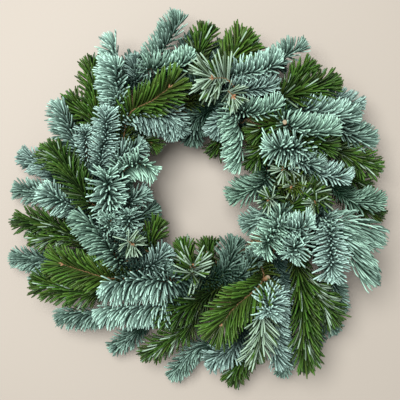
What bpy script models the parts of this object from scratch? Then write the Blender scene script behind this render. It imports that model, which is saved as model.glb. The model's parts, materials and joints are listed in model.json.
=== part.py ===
"""An advent wreath: sprays of noble fir and Nordmann fir bound with wire round a ring of straw.

Metres, +Z up. The origin is under the middle of the wreath's outline, on the surface it lies on.
"""
import itertools
import math
import random

import bmesh
import bpy
import numpy as np
from mathutils import Matrix, Vector

MM = 0.001
UP = np.array((0.0, 0.0, 1.0))

# Driving dimensions, in metres
RING_RADIUS = 0.100
STRAW_RADIUS = 0.025
STRAW_SIDES = 12
WIRE_RADIUS = 0.0006
WIRE_TURNS = 18
WIRE_SIDES = 3
STEM_RADIUS = 0.0015
STEM_LENGTH = 0.014
SHORT_TWIG = 0.030
SHOOT_RADIUS = 0.0022
TIP_RADIUS = 0.0012
FORK_THINNESS = 0.93
CORE_SIDES = 4
CORE_STEP = 0.016
MOST_BEND = math.radians(35)
TIP_REACH = 0.013
NEEDLE_RADIUS = 0.0009
NEEDLE_SPACING = 0.0065
NEEDLE_LENGTH = {"noble": 0.020, "nordmann": 0.023}
SHORTER_AT_TIP = 0.15
SIDE_LEAN = math.radians(56)
TIP_LEAN = math.radians(30)
STRAIGHT_ON = math.radians(4)
MOST_TURNED = math.radians(22)
SCATTER = math.radians(12)

# Clearances: beside the straw, between needles of different sprays, between twigs, and below everything
TOUCHING_GAP = 0.0003
NEEDLE_GAP = 0.0004
TWIG_GAP = 0.0005
FLOOR_GAP = 0.0012
PRESSED_INTO_STRAW = 0.0001

# A spray that finds no clear way is lifted by these steps, in millimetres, and then tries its next seat
LIFT_STEPS = (0, 2, -2, 4, -4, 6, -6, 8, 10, 12)
SEATS_TRIED = 60
COST_OF_LYING_REVERSED = 0.4
COST_THROUGH_STRAW = 3
COST_OF_BEND = 2
STEM_RISE = 0.5
BARE_SHARE = 0.7

# A needle that meets another spray is turned a little, laid flatter, or made shorter by these
TURNS_TRIED = (0, 10, -10, 20, -20, 30, -30)
FLATTER_TRIED = (0, 12, 24)
LENGTHS_TRIED = (1, 0.8, 0.6)

# The open middle, kept free of needles: lowest and highest x, then lowest and highest y
OPENING_X = (-0.034, 0.021)
OPENING_Y = (-0.032, 0.032)

# The layout below is what the eye sees from this height straight above, laid on a plane at this level
EYE_HEIGHT = 0.700
LAYOUT_LEVEL = 0.060

# The straw's middle is this high, so that it rests on one flat side of its cross-section
SIDE_ANGLE = 2 * math.pi / STRAW_SIDES
STRAW_HEIGHT = STRAW_RADIUS * math.cos(SIDE_ANGLE / 2)
TURN_ANGLE = 2 * math.pi / WIRE_TURNS
# The wire pulls a groove this deep into the straw's underside, so it stays off the ground
GROOVE_DEPTH = 0.0019
# Stems lie along the corners of the straw's cross-section, from its outer foot over to its inner foot
STEM_ROWS = [math.radians(angle) for angle in (-15, 15, 45, 75, 105, 135, 165)]
STEM_REACH = STRAW_RADIUS + TOUCHING_GAP + STEM_RADIUS
WIRE_REACH_OVER_STEM = 0.0294
WIRE_REACH_ON_STRAW = 0.0261

# Every spray: its fir, then its shoots. A shoot is the places it passes, in millimetres: x to the right,
# y away from the viewer, z up. Its last place is where its needles end, TIP_REACH past the end of its twig.
# The first shoot goes on from the stem and the others fork off it.
SPRAYS = (
    # Low at the outer foot, from the left round by the top
    ("noble", (((-143, 20, 28), (-176, 41, 22)), ((-150, -3, 22), (-183, 6, 16)))),
    ("noble", (((-149, -68, 24), (-187, -63, 18)), ((-145, -74, 20), (-165, -92, 14)))),
    ("noble", (((-91, -120, 36), (-140, -120, 28)), ((-61, -139, 22), (-88, -157, 16)))),
    ("noble", (((39, -152, 38), (9, -171, 32)), ((6, -152, 24), (-29, -184, 16)))),
    ("nordmann", (((54, -150, 28), (33, -187, 20)),)),
    ("noble", (((90, -150, 22), (84, -183, 15)), ((116, -128, 20), (117, -156, 14)))),
    ("noble", (((131, -79, 34), (142, -120, 26)), ((120, -108, 24), (138, -141, 17)))),
    ("nordmann", (((152, -8, 28), (183, -24, 22)), ((142, 22, 22), (172, 4, 15)))),
    ("noble", (((-88, 104, 22), (-57, 139, 14)), ((-118, 62, 24), (-128, 96, 15)),
               ((-101, 84, 20), (-92, 122, 13)))),
    ("noble", (((43, 124, 24), (89, 127, 16)), ((-18, 129, 26), (0, 156, 17)),
               ((10, 131, 22), (38, 149, 13)))),
    ("nordmann", (((114, 66, 26), (154, 48, 17)), ((90, 94, 24), (124, 98, 16)))),
    # Low in the hole's wall
    ("noble", (((1, 78, 48), (-7, 50, 30)),)),
    ("nordmann", (((25, 55, 36), (15, 38, 26)),)),
    ("noble", (((-67, -10, 55), (-46, 5, 50)), ((-57, -23, 36), (-37, -13, 26)))),
    ("noble", (((67, 15, 48), (33, -8, 40)), ((72, -19, 55), (44, -35, 46)))),
    # Round the outside
    ("noble", (((-47, 129, 42), (-31, 149, 46), (-14, 177, 46)),
               ((-47, 124, 54), (-23, 125, 56), (-1, 137, 60)), ((-60, 112, 50), (-65, 142, 52)))),
    ("nordmann", (((25, 121, 50), (36, 137, 50), (48, 155, 50)), ((0, 135, 38), (11, 163, 40)),
                  ((29, 123, 44), (56, 149, 44)))),
    ("noble", (((39, 117, 62), (65, 122, 68), (87, 132, 76)),
               ((63, 121, 46), (87, 136, 48), (110, 145, 48)), ((31, 103, 62), (83, 105, 66)))),
    ("nordmann", (((86, 95, 60), (135, 107, 54)), ((90, 103, 52), (113, 127, 50)))),
    ("noble", (((135, 69, 50), (156, 57, 50), (173, 48, 44)), ((131, 92, 42), (168, 85, 44)))),
    ("nordmann", (((103, 51, 62), (137, 45, 66)), ((139, 41, 44), (177, 23, 38)))),
    ("noble", (((151, -5, 50), (187, -11, 48)),)),
    ("noble", (((123, -28, 50), (149, -32, 60), (180, -43, 60)),
               ((144, -44, 60), (156, -65, 64), (168, -87, 60)))),
    ("nordmann", (((101, -77, 60), (106, -117, 58), (108, -171, 50)), ((103, -82, 56), (137, -126, 48)))),
    ("noble", (((80, -91, 54), (76, -127, 50), (79, -173, 44)),)),
    ("nordmann", (((-1, -109, 63), (-37, -125, 62)), ((-7, -133, 44), (-27, -147, 40), (-54, -162, 30)))),
    ("nordmann", (((-89, -85, 70), (-117, -77, 70), (-147, -67, 68)), ((-105, -99, 52), (-161, -89, 44)))),
    ("nordmann", (((-135, -35, 48), (-180, -26, 40)), ((-119, -45, 50), (-167, -45, 42)))),
    ("noble", (((-121, -15, 54), (-137, -7, 60), (-154, 7, 62)),)),
    ("nordmann", (((-107, -7, 62), (-142, 47, 62)), ((-115, 19, 52), (-151, 43, 44)))),
    ("noble", (((-117, 39, 54), (-128, 63, 56), (-137, 91, 52)), ((-110, 35, 64), (-113, 73, 84)))),
    ("nordmann", (((-99, 68, 55), (-105, 133, 46)), ((-101, 71, 50), (-128, 95, 36)))),
    ("noble", (((-79, 113, 54), (-82, 135, 56), (-84, 157, 54)),
               ((-79, 87, 62), (-80, 109, 70), (-82, 135, 80)), ((-85, 79, 66), (-76, 107, 72)))),
    # Round the hole
    ("noble", (((-71, 72, 55), (-47, 77, 60), (-17, 73, 58)), ((-31, 81, 55), (-17, 55, 48)))),
    ("noble", (((35, 81, 64), (42, 58, 66), (43, 23, 58)), ((27, 75, 60), (15, 54, 54)))),
    ("nordmann", (((87, 68, 64), (50, 59, 58)), ((73, 51, 54), (50, 27, 48)))),
    ("noble", (((28, -79, 56), (39, -46, 48)), ((45, -84, 60), (62, -57, 54)))),
    ("nordmann", (((-2, -84, 60), (-5, -68, 90)), ((12, -69, 48), (9, -48, 40)),
                  ((-8, -71, 50), (-15, -48, 44)))),
    ("noble", (((-47, -73, 57), (-25, -53, 54)), ((-39, -81, 58), (-21, -69, 56)))),
    ("nordmann", (((-47, -55, 46), (-40, -26, 40)), ((-68, -48, 64), (-60, -54, 90)))),
    ("noble", (((-67, -43, 62), (-69, -12, 78)), ((-89, -43, 66), (-86, -16, 80)))),
    # On the crown
    ("nordmann", (((90, 28, 62), (84, 19, 88)), ((122, -4, 62), (114, -15, 88)),
                  ((87, -14, 58), (123, 5, 62)))),
    ("nordmann", (((76, -4, 64), (69, -10, 90)), ((98, 10, 62), (93, 3, 90)))),
    ("noble", (((-29, -89, 72), (-57, -89, 78), (-95, -93, 86)),
               ((-29, -110, 60), (-57, -114, 62), (-100, -116, 62)))),
    ("noble", (((-79, -69, 66), (-96, -45, 72), (-119, -18, 72)),)),
    ("noble", (((-84, -19, 66), (-88, -3, 76), (-91, 25, 92)),)),
    ("noble", (((-75, 19, 70), (-58, 29, 78), (-38, 21, 80)), ((-79, 33, 66), (-50, 50, 64)))),
    ("noble", (((-96, 33, 68), (-91, 57, 76), (-90, 89, 88)),)),
    ("nordmann", (((-68, 76, 67), (-42, 93, 76), (-16, 113, 81)), ((-51, 53, 46), (-34, 44, 46)))),
    ("noble", (((43, 81, 68), (65, 79, 74), (88, 91, 76)),)),
    ("nordmann", (((32, 109, 66), (5, 114, 92)), ((31, 101, 66), (41, 87, 84)))),
    ("noble", (((105, 83, 60), (131, 77, 63), (159, 73, 60)),
               ((89, 69, 72), (105, 62, 77), (122, 59, 80), (140, 61, 78)))),
    ("noble", (((107, 42, 70), (91, 44, 78), (65, 45, 86)),)),
    ("noble", (((99, 33, 66), (129, 26, 74)), ((121, 21, 62), (156, 12, 70)))),
    ("noble", (((129, -29, 60), (133, -57, 72), (133, -89, 84)),)),
    ("noble", (((83, -25, 68), (74, -43, 78), (61, -63, 88)),
               ((83, -35, 68), (100, -36, 77), (119, -28, 84)), ((100, -44, 72), (92, -70, 90)))),
    ("noble", (((72, -97, 66), (71, -109, 78), (70, -126, 92)),)),
    ("nordmann", (((65, -87, 73), (38, -113, 80), (16, -140, 74)),
                  ((65, -115, 70), (64, -139, 74), (57, -165, 68)))),
)


def unit(vector):
    return vector / np.linalg.norm(vector)


def ring_point(turn, row, reach):
    """A point beside the straw: turn is the angle round the wreath, row the angle round the straw."""
    across = RING_RADIUS + reach * math.cos(row)
    height = STRAW_HEIGHT + reach * math.sin(row)
    return np.array((across * math.cos(turn), across * math.sin(turn), height))


def straw_distance(points):
    """How far points are from the circle in the middle of the straw."""
    across = np.hypot(points[:, 0], points[:, 1]) - RING_RADIUS
    return np.hypot(across, points[:, 2] - STRAW_HEIGHT)


def true_place(place):
    """A place of the layout, moved in towards the middle by what the eye's height adds at its level."""
    x, y, z = (value * MM for value in place)
    nearness = (EYE_HEIGHT - z) / (EYE_HEIGHT - LAYOUT_LEVEL)
    return np.array((x * nearness, y * nearness, z))


# Curves
def curve_through(points, first_heading, spacing):
    """Points about spacing apart on a smooth curve that sets out along first_heading."""
    points = [np.array(point) for point in points]
    headings = [first_heading]
    for before, after in zip(points[:-2], points[2:]):
        headings.append(unit(after - before))
    headings.append(unit(points[-1] - points[-2]))
    path = [points[0]]
    for start, end, leave, arrive in zip(points[:-1], points[1:], headings[:-1], headings[1:]):
        length = np.linalg.norm(end - start)
        turned = math.acos(max(-1, min(1, leave @ arrive)))
        steps = max(1, round(length / spacing), round(turned / MOST_BEND))
        for step in range(1, steps + 1):
            t = step / steps
            path.append(
                (2 * t ** 3 - 3 * t ** 2 + 1) * start
                + (t ** 3 - 2 * t ** 2 + t) * length * leave
                + (3 * t ** 2 - 2 * t ** 3) * end
                + (t ** 3 - t ** 2) * length * arrive
            )
    return path


# Clearances
def segment_gaps(a, b, starts, ends):
    """Shortest distance from the line a to b to each of many lines, from starts to ends."""
    along = b - a
    others = ends - starts
    between = a - starts
    own_square = along @ along
    other_square = np.einsum("ij,ij->i", others, others)
    mixed = others @ along
    own_part = between @ along
    other_part = np.einsum("ij,ij->i", others, between)
    spread = np.maximum(own_square * other_square - mixed ** 2, 1e-18)
    s = np.clip((mixed * other_part - own_part * other_square) / spread, 0, 1)
    t = np.clip((mixed * s + other_part) / other_square, 0, 1)
    s = np.clip((mixed * t - own_part) / own_square, 0, 1)
    return np.linalg.norm(between + s[:, None] * along - t[:, None] * others, axis=1)


class Crowd:
    """Everything laid so far, as straight rods with a start, an end, a radius and an owner."""

    def __init__(self):
        self.starts = np.empty((0, 3))
        self.ends = np.empty((0, 3))
        self.radii = np.empty(0)
        self.owners = np.empty(0, dtype=int)

    def add(self, path, radii, owner):
        path = np.array(path)
        self.starts = np.vstack((self.starts, path[:-1]))
        self.ends = np.vstack((self.ends, path[1:]))
        self.radii = np.append(self.radii, np.maximum(radii[:-1], radii[1:]))
        self.owners = np.append(self.owners, np.full(len(path) - 1, owner))

    def room(self, a, b, radius, owner):
        """The narrowest gap between a rod and the rods of all other owners."""
        others = self.owners != owner
        gaps = segment_gaps(a, b, self.starts[others], self.ends[others])
        return (gaps - self.radii[others]).min() - radius


def meets_fixed_things(a, b, radius):
    """True where a rod touches the straw, the surface below or the open middle."""
    points = a + (b - a) * np.linspace(0, 1, 9)[:, None]
    if straw_distance(points).min() < STRAW_RADIUS + radius + TOUCHING_GAP:
        return True
    if points[:, 2].min() < radius + FLOOR_GAP:
        return True
    in_x = (points[:, 0] > OPENING_X[0] - radius) & (points[:, 0] < OPENING_X[1] + radius)
    in_y = (points[:, 1] > OPENING_Y[0] - radius) & (points[:, 1] < OPENING_Y[1] + radius)
    return bool((in_x & in_y).any())


# Where the twigs lie
def seat_of(turn, row, sense):
    """The three points of a stem bound at a turn of the wire, and its ways out. Sense 1 is clockwise."""
    half_angle = STEM_LENGTH / 2 / (RING_RADIUS + STEM_REACH * math.cos(row))
    middle = turn * TURN_ANGLE
    points = [ring_point(middle - shift * sense * half_angle, row, STEM_REACH) for shift in (-1, 0, 1)]
    onward = unit(points[2] - points[1])
    outward = unit(points[1] - ring_point(middle, row, 0))
    return points, onward, outward


def best_seats(foot, heading):
    """Seats in order: near behind the foot of the shoot, with little to bend and no straw in the way."""
    seats = []
    for turn, row, sense in itertools.product(range(WIRE_TURNS), STEM_ROWS, (1, -1)):
        points, onward, outward = seat_of(turn, row, sense)
        distance = np.linalg.norm(foot - points[2])
        way = (foot - points[2]) / distance
        cost = abs(distance - SHORT_TWIG) / SHORT_TWIG
        cost += COST_OF_BEND * ((1 - way @ onward) + (1 - way @ heading))
        cost += COST_THROUGH_STRAW * max(0, -(way @ outward))
        if sense == -1:
            cost += COST_OF_LYING_REVERSED
        seats.append((cost, turn, row, sense))
    return [seat[1:] for seat in sorted(seats)]


def twig_places(shoot, lift):
    """The places that a shoot's twig passes, which ends short of where its needles reach."""
    places = [true_place(place) + UP * lift for place in shoot]
    places[-1] = places[-1] - unit(places[-1] - places[-2]) * TIP_REACH
    return places


def shoot_radii(count, bare):
    """Radii along a shoot: thin while it is bare, thicker where it has needles, thin again at the tip."""
    radii = [STEM_RADIUS] * bare + [SHOOT_RADIUS] * (count - bare)
    radii[-1] = TIP_RADIUS
    return radii


def lay_twigs(shoots, seat, onward, outward, lift):
    """Paths of one spray's twigs, bound at a seat, with every shoot lifted by the same height."""
    raised = [twig_places(shoot, lift) for shoot in shoots]
    leader = curve_through([seat[2]] + raised[0], unit(onward + STEM_RISE * outward), CORE_STEP)
    # The bound stem runs on into the leader, which has needles from a little short of its first place
    paths = [seat[:2] + leader]
    to_first_place = np.linalg.norm(raised[0][0] - seat[2])
    bare_counts = [2 + max(1, round(BARE_SHARE * to_first_place / CORE_STEP))]
    for places in raised[1:]:
        # It forks off where the way to its first place is short and bends little at both ends
        fork_cost = []
        for index in range(len(leader) - 1):
            away = places[0] - leader[index]
            distance = np.linalg.norm(away)
            bend = (1 - unit(leader[index + 1] - leader[index]) @ away / distance)
            bend += (1 - unit(places[1] - places[0]) @ away / distance)
            fork_cost.append((distance + SHORT_TWIG * bend, index))
        fork = min(fork_cost)[1]
        ahead = unit(leader[fork + 1] - leader[fork])
        away = unit(places[0] - leader[fork])
        side = curve_through([leader[fork]] + places, unit(ahead + away), CORE_STEP)
        paths.append(side)
        bare_counts.append(1)
    return paths, bare_counts


def paths_are_clear(paths, bare_counts, crowd, owner):
    """True where no twig, past the stem that the wire holds, meets another spray or anything fixed."""
    for number, (path, bare) in enumerate(zip(paths, bare_counts)):
        radii = shoot_radii(len(path), bare)
        first_free = 2 if number == 0 else 0
        for index in range(first_free, len(path) - 1):
            radius = max(radii[index], radii[index + 1])
            if meets_fixed_things(path[index], path[index + 1], radius - PRESSED_INTO_STRAW):
                return False
            if crowd.room(path[index], path[index + 1], radius, owner) < TWIG_GAP:
                return False
    return True


def lay_spray(number, shoots, crowd, taken):
    """The first seat and the smallest lift that pass clear of all that is laid so far."""
    first_foot = true_place(shoots[0][0])
    heading = unit(true_place(shoots[0][1]) - first_foot)
    for turn, row, sense in best_seats(first_foot, heading)[:SEATS_TRIED]:
        if (turn, row) in taken:
            continue
        for lift in LIFT_STEPS:
            paths, bare_counts = lay_twigs(shoots, *seat_of(turn, row, sense), lift * MM)
            if paths_are_clear(paths, bare_counts, crowd, number):
                taken.add((turn, row))
                for path, bare in zip(paths, bare_counts):
                    crowd.add(path, np.array(shoot_radii(len(path), bare)), number)
                return paths, bare_counts
    raise ValueError(f"no clear way for spray {number}, {shoots}")


# Cores and needles
SIDE_ORDER = (0, 2, 1, 3)


def core_corners(path, sides=CORE_SIDES):
    """Offsets of a core's corners at each point of its path, mitred so that its faces stay flat."""
    ways = [unit(after - before) for before, after in zip(path[:-1], path[1:])]
    side = unit(np.cross(ways[0], UP + np.array((0.01, 0.02, 0))))
    above = np.cross(ways[0], side)
    corners = []
    for index in range(sides):
        angle = 2 * math.pi * (index + 0.5) / sides
        corners.append(side * math.cos(angle) + above * math.sin(angle))
    rings = [corners]
    for index, way in enumerate(ways):
        is_last = index == len(ways) - 1
        plane = way if is_last else unit(way + ways[index + 1])
        corners = [corner - way * ((corner @ plane) / (way @ plane)) for corner in corners]
        rings.append(corners)
    return rings


def needle_seats(path, bare):
    """Even steps along the leafy part of a shoot: place, way ahead, sides and how far along it is."""
    rings = core_corners(path)
    leafy = np.array(path[bare:])
    lengths = np.linalg.norm(np.diff(leafy, axis=0), axis=1)
    reach = np.concatenate(((0,), np.cumsum(lengths)))
    count = max(4, round(reach[-1] / NEEDLE_SPACING))
    seats = []
    for step in range(count + 1):
        place_along = reach[-1] * step / count
        index = min(int(np.searchsorted(reach, place_along, side="right")) - 1, len(lengths) - 1)
        ahead = unit(leafy[index + 1] - leafy[index])
        place = leafy[index] + ahead * (place_along - reach[index])
        ring = rings[bare + index]
        outward = []
        for corner, following in zip(ring, ring[1:] + ring[:1]):
            middle = (corner + following) / 2
            outward.append(unit(middle - ahead * (middle @ ahead)))
        seats.append((place, ahead, outward, step / count))
    return seats


def needle_tries(first_side, first_turn):
    """Ways to bend a needle clear: turned a little, flatter, on another side of its twig, then shorter."""
    for shorter in LENGTHS_TRIED:
        for other_side in SIDE_ORDER:
            side = (first_side + other_side) % CORE_SIDES
            for flatter in FLATTER_TRIED:
                for turned in TURNS_TRIED:
                    turn = first_turn + math.radians(turned)
                    if abs(turn) <= MOST_TURNED:
                        yield shorter, side, math.radians(flatter), turn


def clear_needle(seat, first_side, first_turn, lean, length, crowd, owner):
    """The first of the tries that keeps clear of the other sprays, the straw and the opening."""
    place, ahead, sides = seat[:3]
    for shorter, side, flatter, turn in needle_tries(first_side, first_turn):
        across = np.cross(ahead, sides[side])
        outward = sides[side] * math.cos(turn) + across * math.sin(turn)
        way = ahead * math.cos(lean - flatter) + outward * math.sin(lean - flatter)
        end = place + way * length * shorter
        if meets_fixed_things(place + way * SHOOT_RADIUS, end, NEEDLE_RADIUS):
            continue
        if crowd.room(place, end, NEEDLE_RADIUS, owner) >= NEEDLE_GAP:
            return place, end
    return None


def grow_needles(fir, paths, bare_counts, crowd, owner):
    """Needles on all four sides of every shoot in turn, the last one straight on from the tip."""
    chance = random.Random(owner)
    needles = []
    for path, bare in zip(paths, bare_counts):
        seats = needle_seats(path, bare)
        for count, seat in enumerate(seats):
            part_done = seat[3]
            lean = SIDE_LEAN + (TIP_LEAN - SIDE_LEAN) * part_done ** 3
            length = NEEDLE_LENGTH[fir] * (1 - SHORTER_AT_TIP * part_done)
            if count == len(seats) - 1:
                lean, length = STRAIGHT_ON, TIP_REACH
            first_side = SIDE_ORDER[count % CORE_SIDES]
            first_turn = chance.uniform(-SCATTER, SCATTER)
            needle = clear_needle(seat, first_side, first_turn, lean, length, crowd, owner)
            if needle:
                needles.append(needle)
                crowd.add(needle, np.array((NEEDLE_RADIUS, NEEDLE_RADIUS)), owner)
    return needles


# Meshes
def new_object(name, mesh_maker, material=None):
    maker = bmesh.new()
    mesh_maker(maker)
    mesh = bpy.data.meshes.new(name)
    maker.to_mesh(mesh)
    maker.free()
    made = bpy.data.objects.new(name, mesh)
    bpy.context.scene.collection.objects.link(made)
    if material:
        mesh.materials.append(material)
    return made


def core(maker, path, radii, sides=CORE_SIDES):
    """A closed core with flat sides along a path, with a radius for each of its points."""
    rings = []
    for point, radius, corners in zip(path, radii, core_corners(path, sides)):
        rings.append([maker.verts.new(point + corner * radius) for corner in corners])
    for lower, upper in zip(rings[:-1], rings[1:]):
        for side in range(sides):
            after = (side + 1) % sides
            maker.faces.new((lower[side], lower[after], upper[after], upper[side]))
    maker.faces.new(reversed(rings[0]))
    maker.faces.new(rings[-1])


def spike(maker, start, end):
    """A three-sided needle."""
    start, end = Vector(start), Vector(end)
    way = end - start
    turn = way.to_track_quat("Z", "Y").to_matrix().to_4x4()
    place = Matrix.Translation((start + end) / 2) @ turn
    bmesh.ops.create_cone(maker, cap_ends=True, segments=3, radius1=NEEDLE_RADIUS, radius2=0,
                          depth=way.length, matrix=place)


def make_straw_ring(material):
    """A turned ring of straw, grooved on its underside where each turn of the wire passes."""
    steps = WIRE_TURNS * 3

    def shape(maker):
        section = Matrix.Translation((RING_RADIUS, 0, STRAW_HEIGHT)) @ Matrix.Rotation(math.pi / 2, 4, "X")
        section = section @ Matrix.Rotation(SIDE_ANGLE / 2, 4, "Z")
        bmesh.ops.create_circle(maker, segments=STRAW_SIDES, radius=STRAW_RADIUS, matrix=section)
        bmesh.ops.spin(maker, geom=maker.verts[:] + maker.edges[:], axis=(0, 0, 1), cent=(0, 0, 0),
                       angle=2 * math.pi, steps=steps, use_merge=True)
        bmesh.ops.recalc_face_normals(maker, faces=maker.faces)
        for vert in maker.verts:
            turn = math.atan2(vert.co.y, vert.co.x) / TURN_ANGLE
            is_at_wire = abs(turn - round(turn)) < 0.01
            if is_at_wire and vert.co.z < GROOVE_DEPTH:
                vert.co.z += GROOVE_DEPTH

    return new_object("straw_ring", shape, material)


def wire_path(taken):
    """One long wire: round the straw in turns, over every stem, and on to the next at the inner foot."""
    # From below the inner side, outwards under the straw, over the top and down to the inner foot
    corners = [math.radians(angle) for angle in range(-135, 196, 30)]
    path = []
    for turn in range(WIRE_TURNS):
        for corner in corners:
            reach = WIRE_REACH_ON_STRAW
            if any(seat == turn and abs(row - corner) < SIDE_ANGLE / 2 for seat, row in taken):
                reach = WIRE_REACH_OVER_STEM
            point = ring_point(turn * TURN_ANGLE, corner, reach)
            if point[2] < GROOVE_DEPTH:
                point = ring_point(turn * TURN_ANGLE, corner, STRAW_RADIUS)
                point[2] = WIRE_RADIUS + TOUCHING_GAP
            path.append(point)
    return path


def make_spray(name, paths, bare_counts, needles, material):
    """The twigs and needles of one spray, joined by one union."""
    pieces = bpy.data.collections.new(name + "_pieces")
    bpy.context.scene.collection.children.link(pieces)
    radii = shoot_radii(len(paths[0]), bare_counts[0])
    spray = new_object(name, lambda maker: core(maker, paths[0], radii), material)
    loose = []
    for path, bare in zip(paths[1:], bare_counts[1:]):
        radii = [radius * FORK_THINNESS for radius in shoot_radii(len(path), bare)]
        loose.append(new_object(name + "_twig", lambda maker: core(maker, path, radii), material))
    for start, end in needles:
        loose.append(new_object(name + "_needle", lambda maker: spike(maker, start, end), material))
    for piece in loose:
        bpy.context.scene.collection.objects.unlink(piece)
        pieces.objects.link(piece)
    union = spray.modifiers.new("union", "BOOLEAN")
    union.operation = "UNION"
    union.solver = "EXACT"
    union.operand_type = "COLLECTION"
    union.collection = pieces
    bpy.context.view_layer.update()
    evaluated = spray.evaluated_get(bpy.context.evaluated_depsgraph_get())
    joined = bpy.data.meshes.new_from_object(evaluated)
    spray.modifiers.clear()
    spray.data = joined
    for piece in loose:
        bpy.data.objects.remove(piece)
    bpy.data.collections.remove(pieces)
    return spray


def plain_material(name, colour, roughness, metallic=0.0):
    material = bpy.data.materials.new(name)
    material.use_nodes = True
    shader = material.node_tree.nodes["Principled BSDF"]
    shader.inputs["Base Color"].default_value = (*colour, 1)
    shader.inputs["Roughness"].default_value = roughness
    shader.inputs["Metallic"].default_value = metallic
    return material


def main():
    for leftover in list(bpy.data.objects):
        bpy.data.objects.remove(leftover)
    straw = plain_material("straw", (0.56, 0.42, 0.20), 0.8)
    wire = plain_material("green_wire", (0.05, 0.09, 0.04), 0.45, 0.6)
    fir = {
        "noble": plain_material("noble_fir", (0.22, 0.36, 0.32), 0.6),
        "nordmann": plain_material("nordmann_fir", (0.06, 0.15, 0.035), 0.4),
    }
    pieces = [make_straw_ring(straw)]
    crowd = Crowd()
    everywhere = {(turn, row) for turn in range(WIRE_TURNS) for row in STEM_ROWS}
    loose_wire = wire_path(everywhere)
    crowd.add(loose_wire, np.full(len(loose_wire), WIRE_RADIUS), -1)
    taken = set()
    laid = []
    for number, (kind, shoots) in enumerate(SPRAYS):
        laid.append(lay_spray(number, shoots, crowd, taken))
    route = wire_path(taken)
    radii = [WIRE_RADIUS] * len(route)
    pieces.append(new_object("binding_wire", lambda maker: core(maker, route, radii, WIRE_SIDES), wire))
    counts = {"noble": 0, "nordmann": 0}
    for number, ((kind, shoots), (paths, bare_counts)) in enumerate(zip(SPRAYS, laid)):
        counts[kind] += 1
        needles = grow_needles(kind, paths, bare_counts, crowd, number)
        name = f"{kind}_spray_{counts[kind]:02d}"
        pieces.append(make_spray(name, paths, bare_counts, needles, fir[kind]))
    # The origin goes under the middle of the outline
    corners = [piece.matrix_world @ vert.co for piece in pieces for vert in piece.data.vertices]
    middle_x = (min(corner.x for corner in corners) + max(corner.x for corner in corners)) / 2
    middle_y = (min(corner.y for corner in corners) + max(corner.y for corner in corners)) / 2
    for piece in pieces:
        piece.data.transform(Matrix.Translation((-middle_x, -middle_y, 0)))


main()
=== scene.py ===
# %% [markdown]
# # An advent wreath of noble fir and Nordmann fir
#
# A wreath like this is bound by hand. Short sprays of fir are laid on a ring of pressed straw, one
# after another, and a long soft wire holds each stem down before the next spray hides it. All the
# tips point the same way round. Here the frame, which is one plain solid for each spray, is already
# made. This script grows a full spray of needles in the place of each of those solids.
#
# The frame is loaded first. Its box is kept, because the finished wreath must be as big as the frame.

# %% Load the frame
import itertools
import json
import math
import random

import bmesh
import bpy
import numpy as np
from mathutils import Matrix, Vector

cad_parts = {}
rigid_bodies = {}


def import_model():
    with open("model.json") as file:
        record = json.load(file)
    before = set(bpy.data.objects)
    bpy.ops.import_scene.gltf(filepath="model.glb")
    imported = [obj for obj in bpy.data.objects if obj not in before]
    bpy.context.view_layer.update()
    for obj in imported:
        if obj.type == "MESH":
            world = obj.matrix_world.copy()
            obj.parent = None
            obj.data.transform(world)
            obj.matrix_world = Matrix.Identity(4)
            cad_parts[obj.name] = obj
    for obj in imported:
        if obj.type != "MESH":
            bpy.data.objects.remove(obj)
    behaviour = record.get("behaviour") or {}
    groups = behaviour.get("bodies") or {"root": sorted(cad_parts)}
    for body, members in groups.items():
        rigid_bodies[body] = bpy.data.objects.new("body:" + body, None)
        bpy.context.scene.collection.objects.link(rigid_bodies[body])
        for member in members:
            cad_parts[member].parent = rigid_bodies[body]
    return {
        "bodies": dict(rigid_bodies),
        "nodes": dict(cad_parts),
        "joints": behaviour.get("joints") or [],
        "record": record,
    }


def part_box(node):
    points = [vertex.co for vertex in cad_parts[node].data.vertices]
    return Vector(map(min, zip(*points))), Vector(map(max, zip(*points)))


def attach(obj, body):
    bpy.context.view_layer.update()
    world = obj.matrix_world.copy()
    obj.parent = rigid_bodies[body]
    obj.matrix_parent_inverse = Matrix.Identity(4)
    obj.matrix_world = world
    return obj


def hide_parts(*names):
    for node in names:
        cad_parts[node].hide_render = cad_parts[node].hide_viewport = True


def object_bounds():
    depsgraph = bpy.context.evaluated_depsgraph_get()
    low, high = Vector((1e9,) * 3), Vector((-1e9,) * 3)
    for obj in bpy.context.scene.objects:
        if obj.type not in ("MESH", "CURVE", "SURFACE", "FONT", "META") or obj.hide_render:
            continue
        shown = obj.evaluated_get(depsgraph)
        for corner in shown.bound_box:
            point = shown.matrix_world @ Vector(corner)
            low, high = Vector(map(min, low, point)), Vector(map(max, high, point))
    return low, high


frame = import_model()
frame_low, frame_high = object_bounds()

print("frame from", list(frame_low), "to", list(frame_high))

# %% [markdown]
# The camera comes next, so that every later step can be looked at. The wreath is seen from straight
# above, from 70 cm and through a lens of ordinary length, so what is high looks a little further out
# than it is. A camera in Blender looks along its own -Z, so one that looks straight down needs no
# turning.

# %% Place the camera above the wreath
ring_low, ring_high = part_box("straw_ring")
ring_middle = (ring_low + ring_high) / 2

EYE_HEIGHT = 0.700
# The eye isn't quite above the middle of the ring
EYE_OFFSET = Vector((0.0030, -0.0071, 0))
LENS_MM = 57.6
SENSOR_MM = 36.0


def add_object(name, data):
    made = bpy.data.objects.new(name, data)
    bpy.context.scene.collection.objects.link(made)
    return made


camera_data = bpy.data.cameras.new("camera")
camera_data.lens = LENS_MM
camera_data.sensor_width = SENSOR_MM
camera = add_object("camera", camera_data)
camera.location = Vector((ring_middle.x, ring_middle.y, EYE_HEIGHT)) + EYE_OFFSET
bpy.context.scene.camera = camera
print("camera at", list(camera.location))
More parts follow.
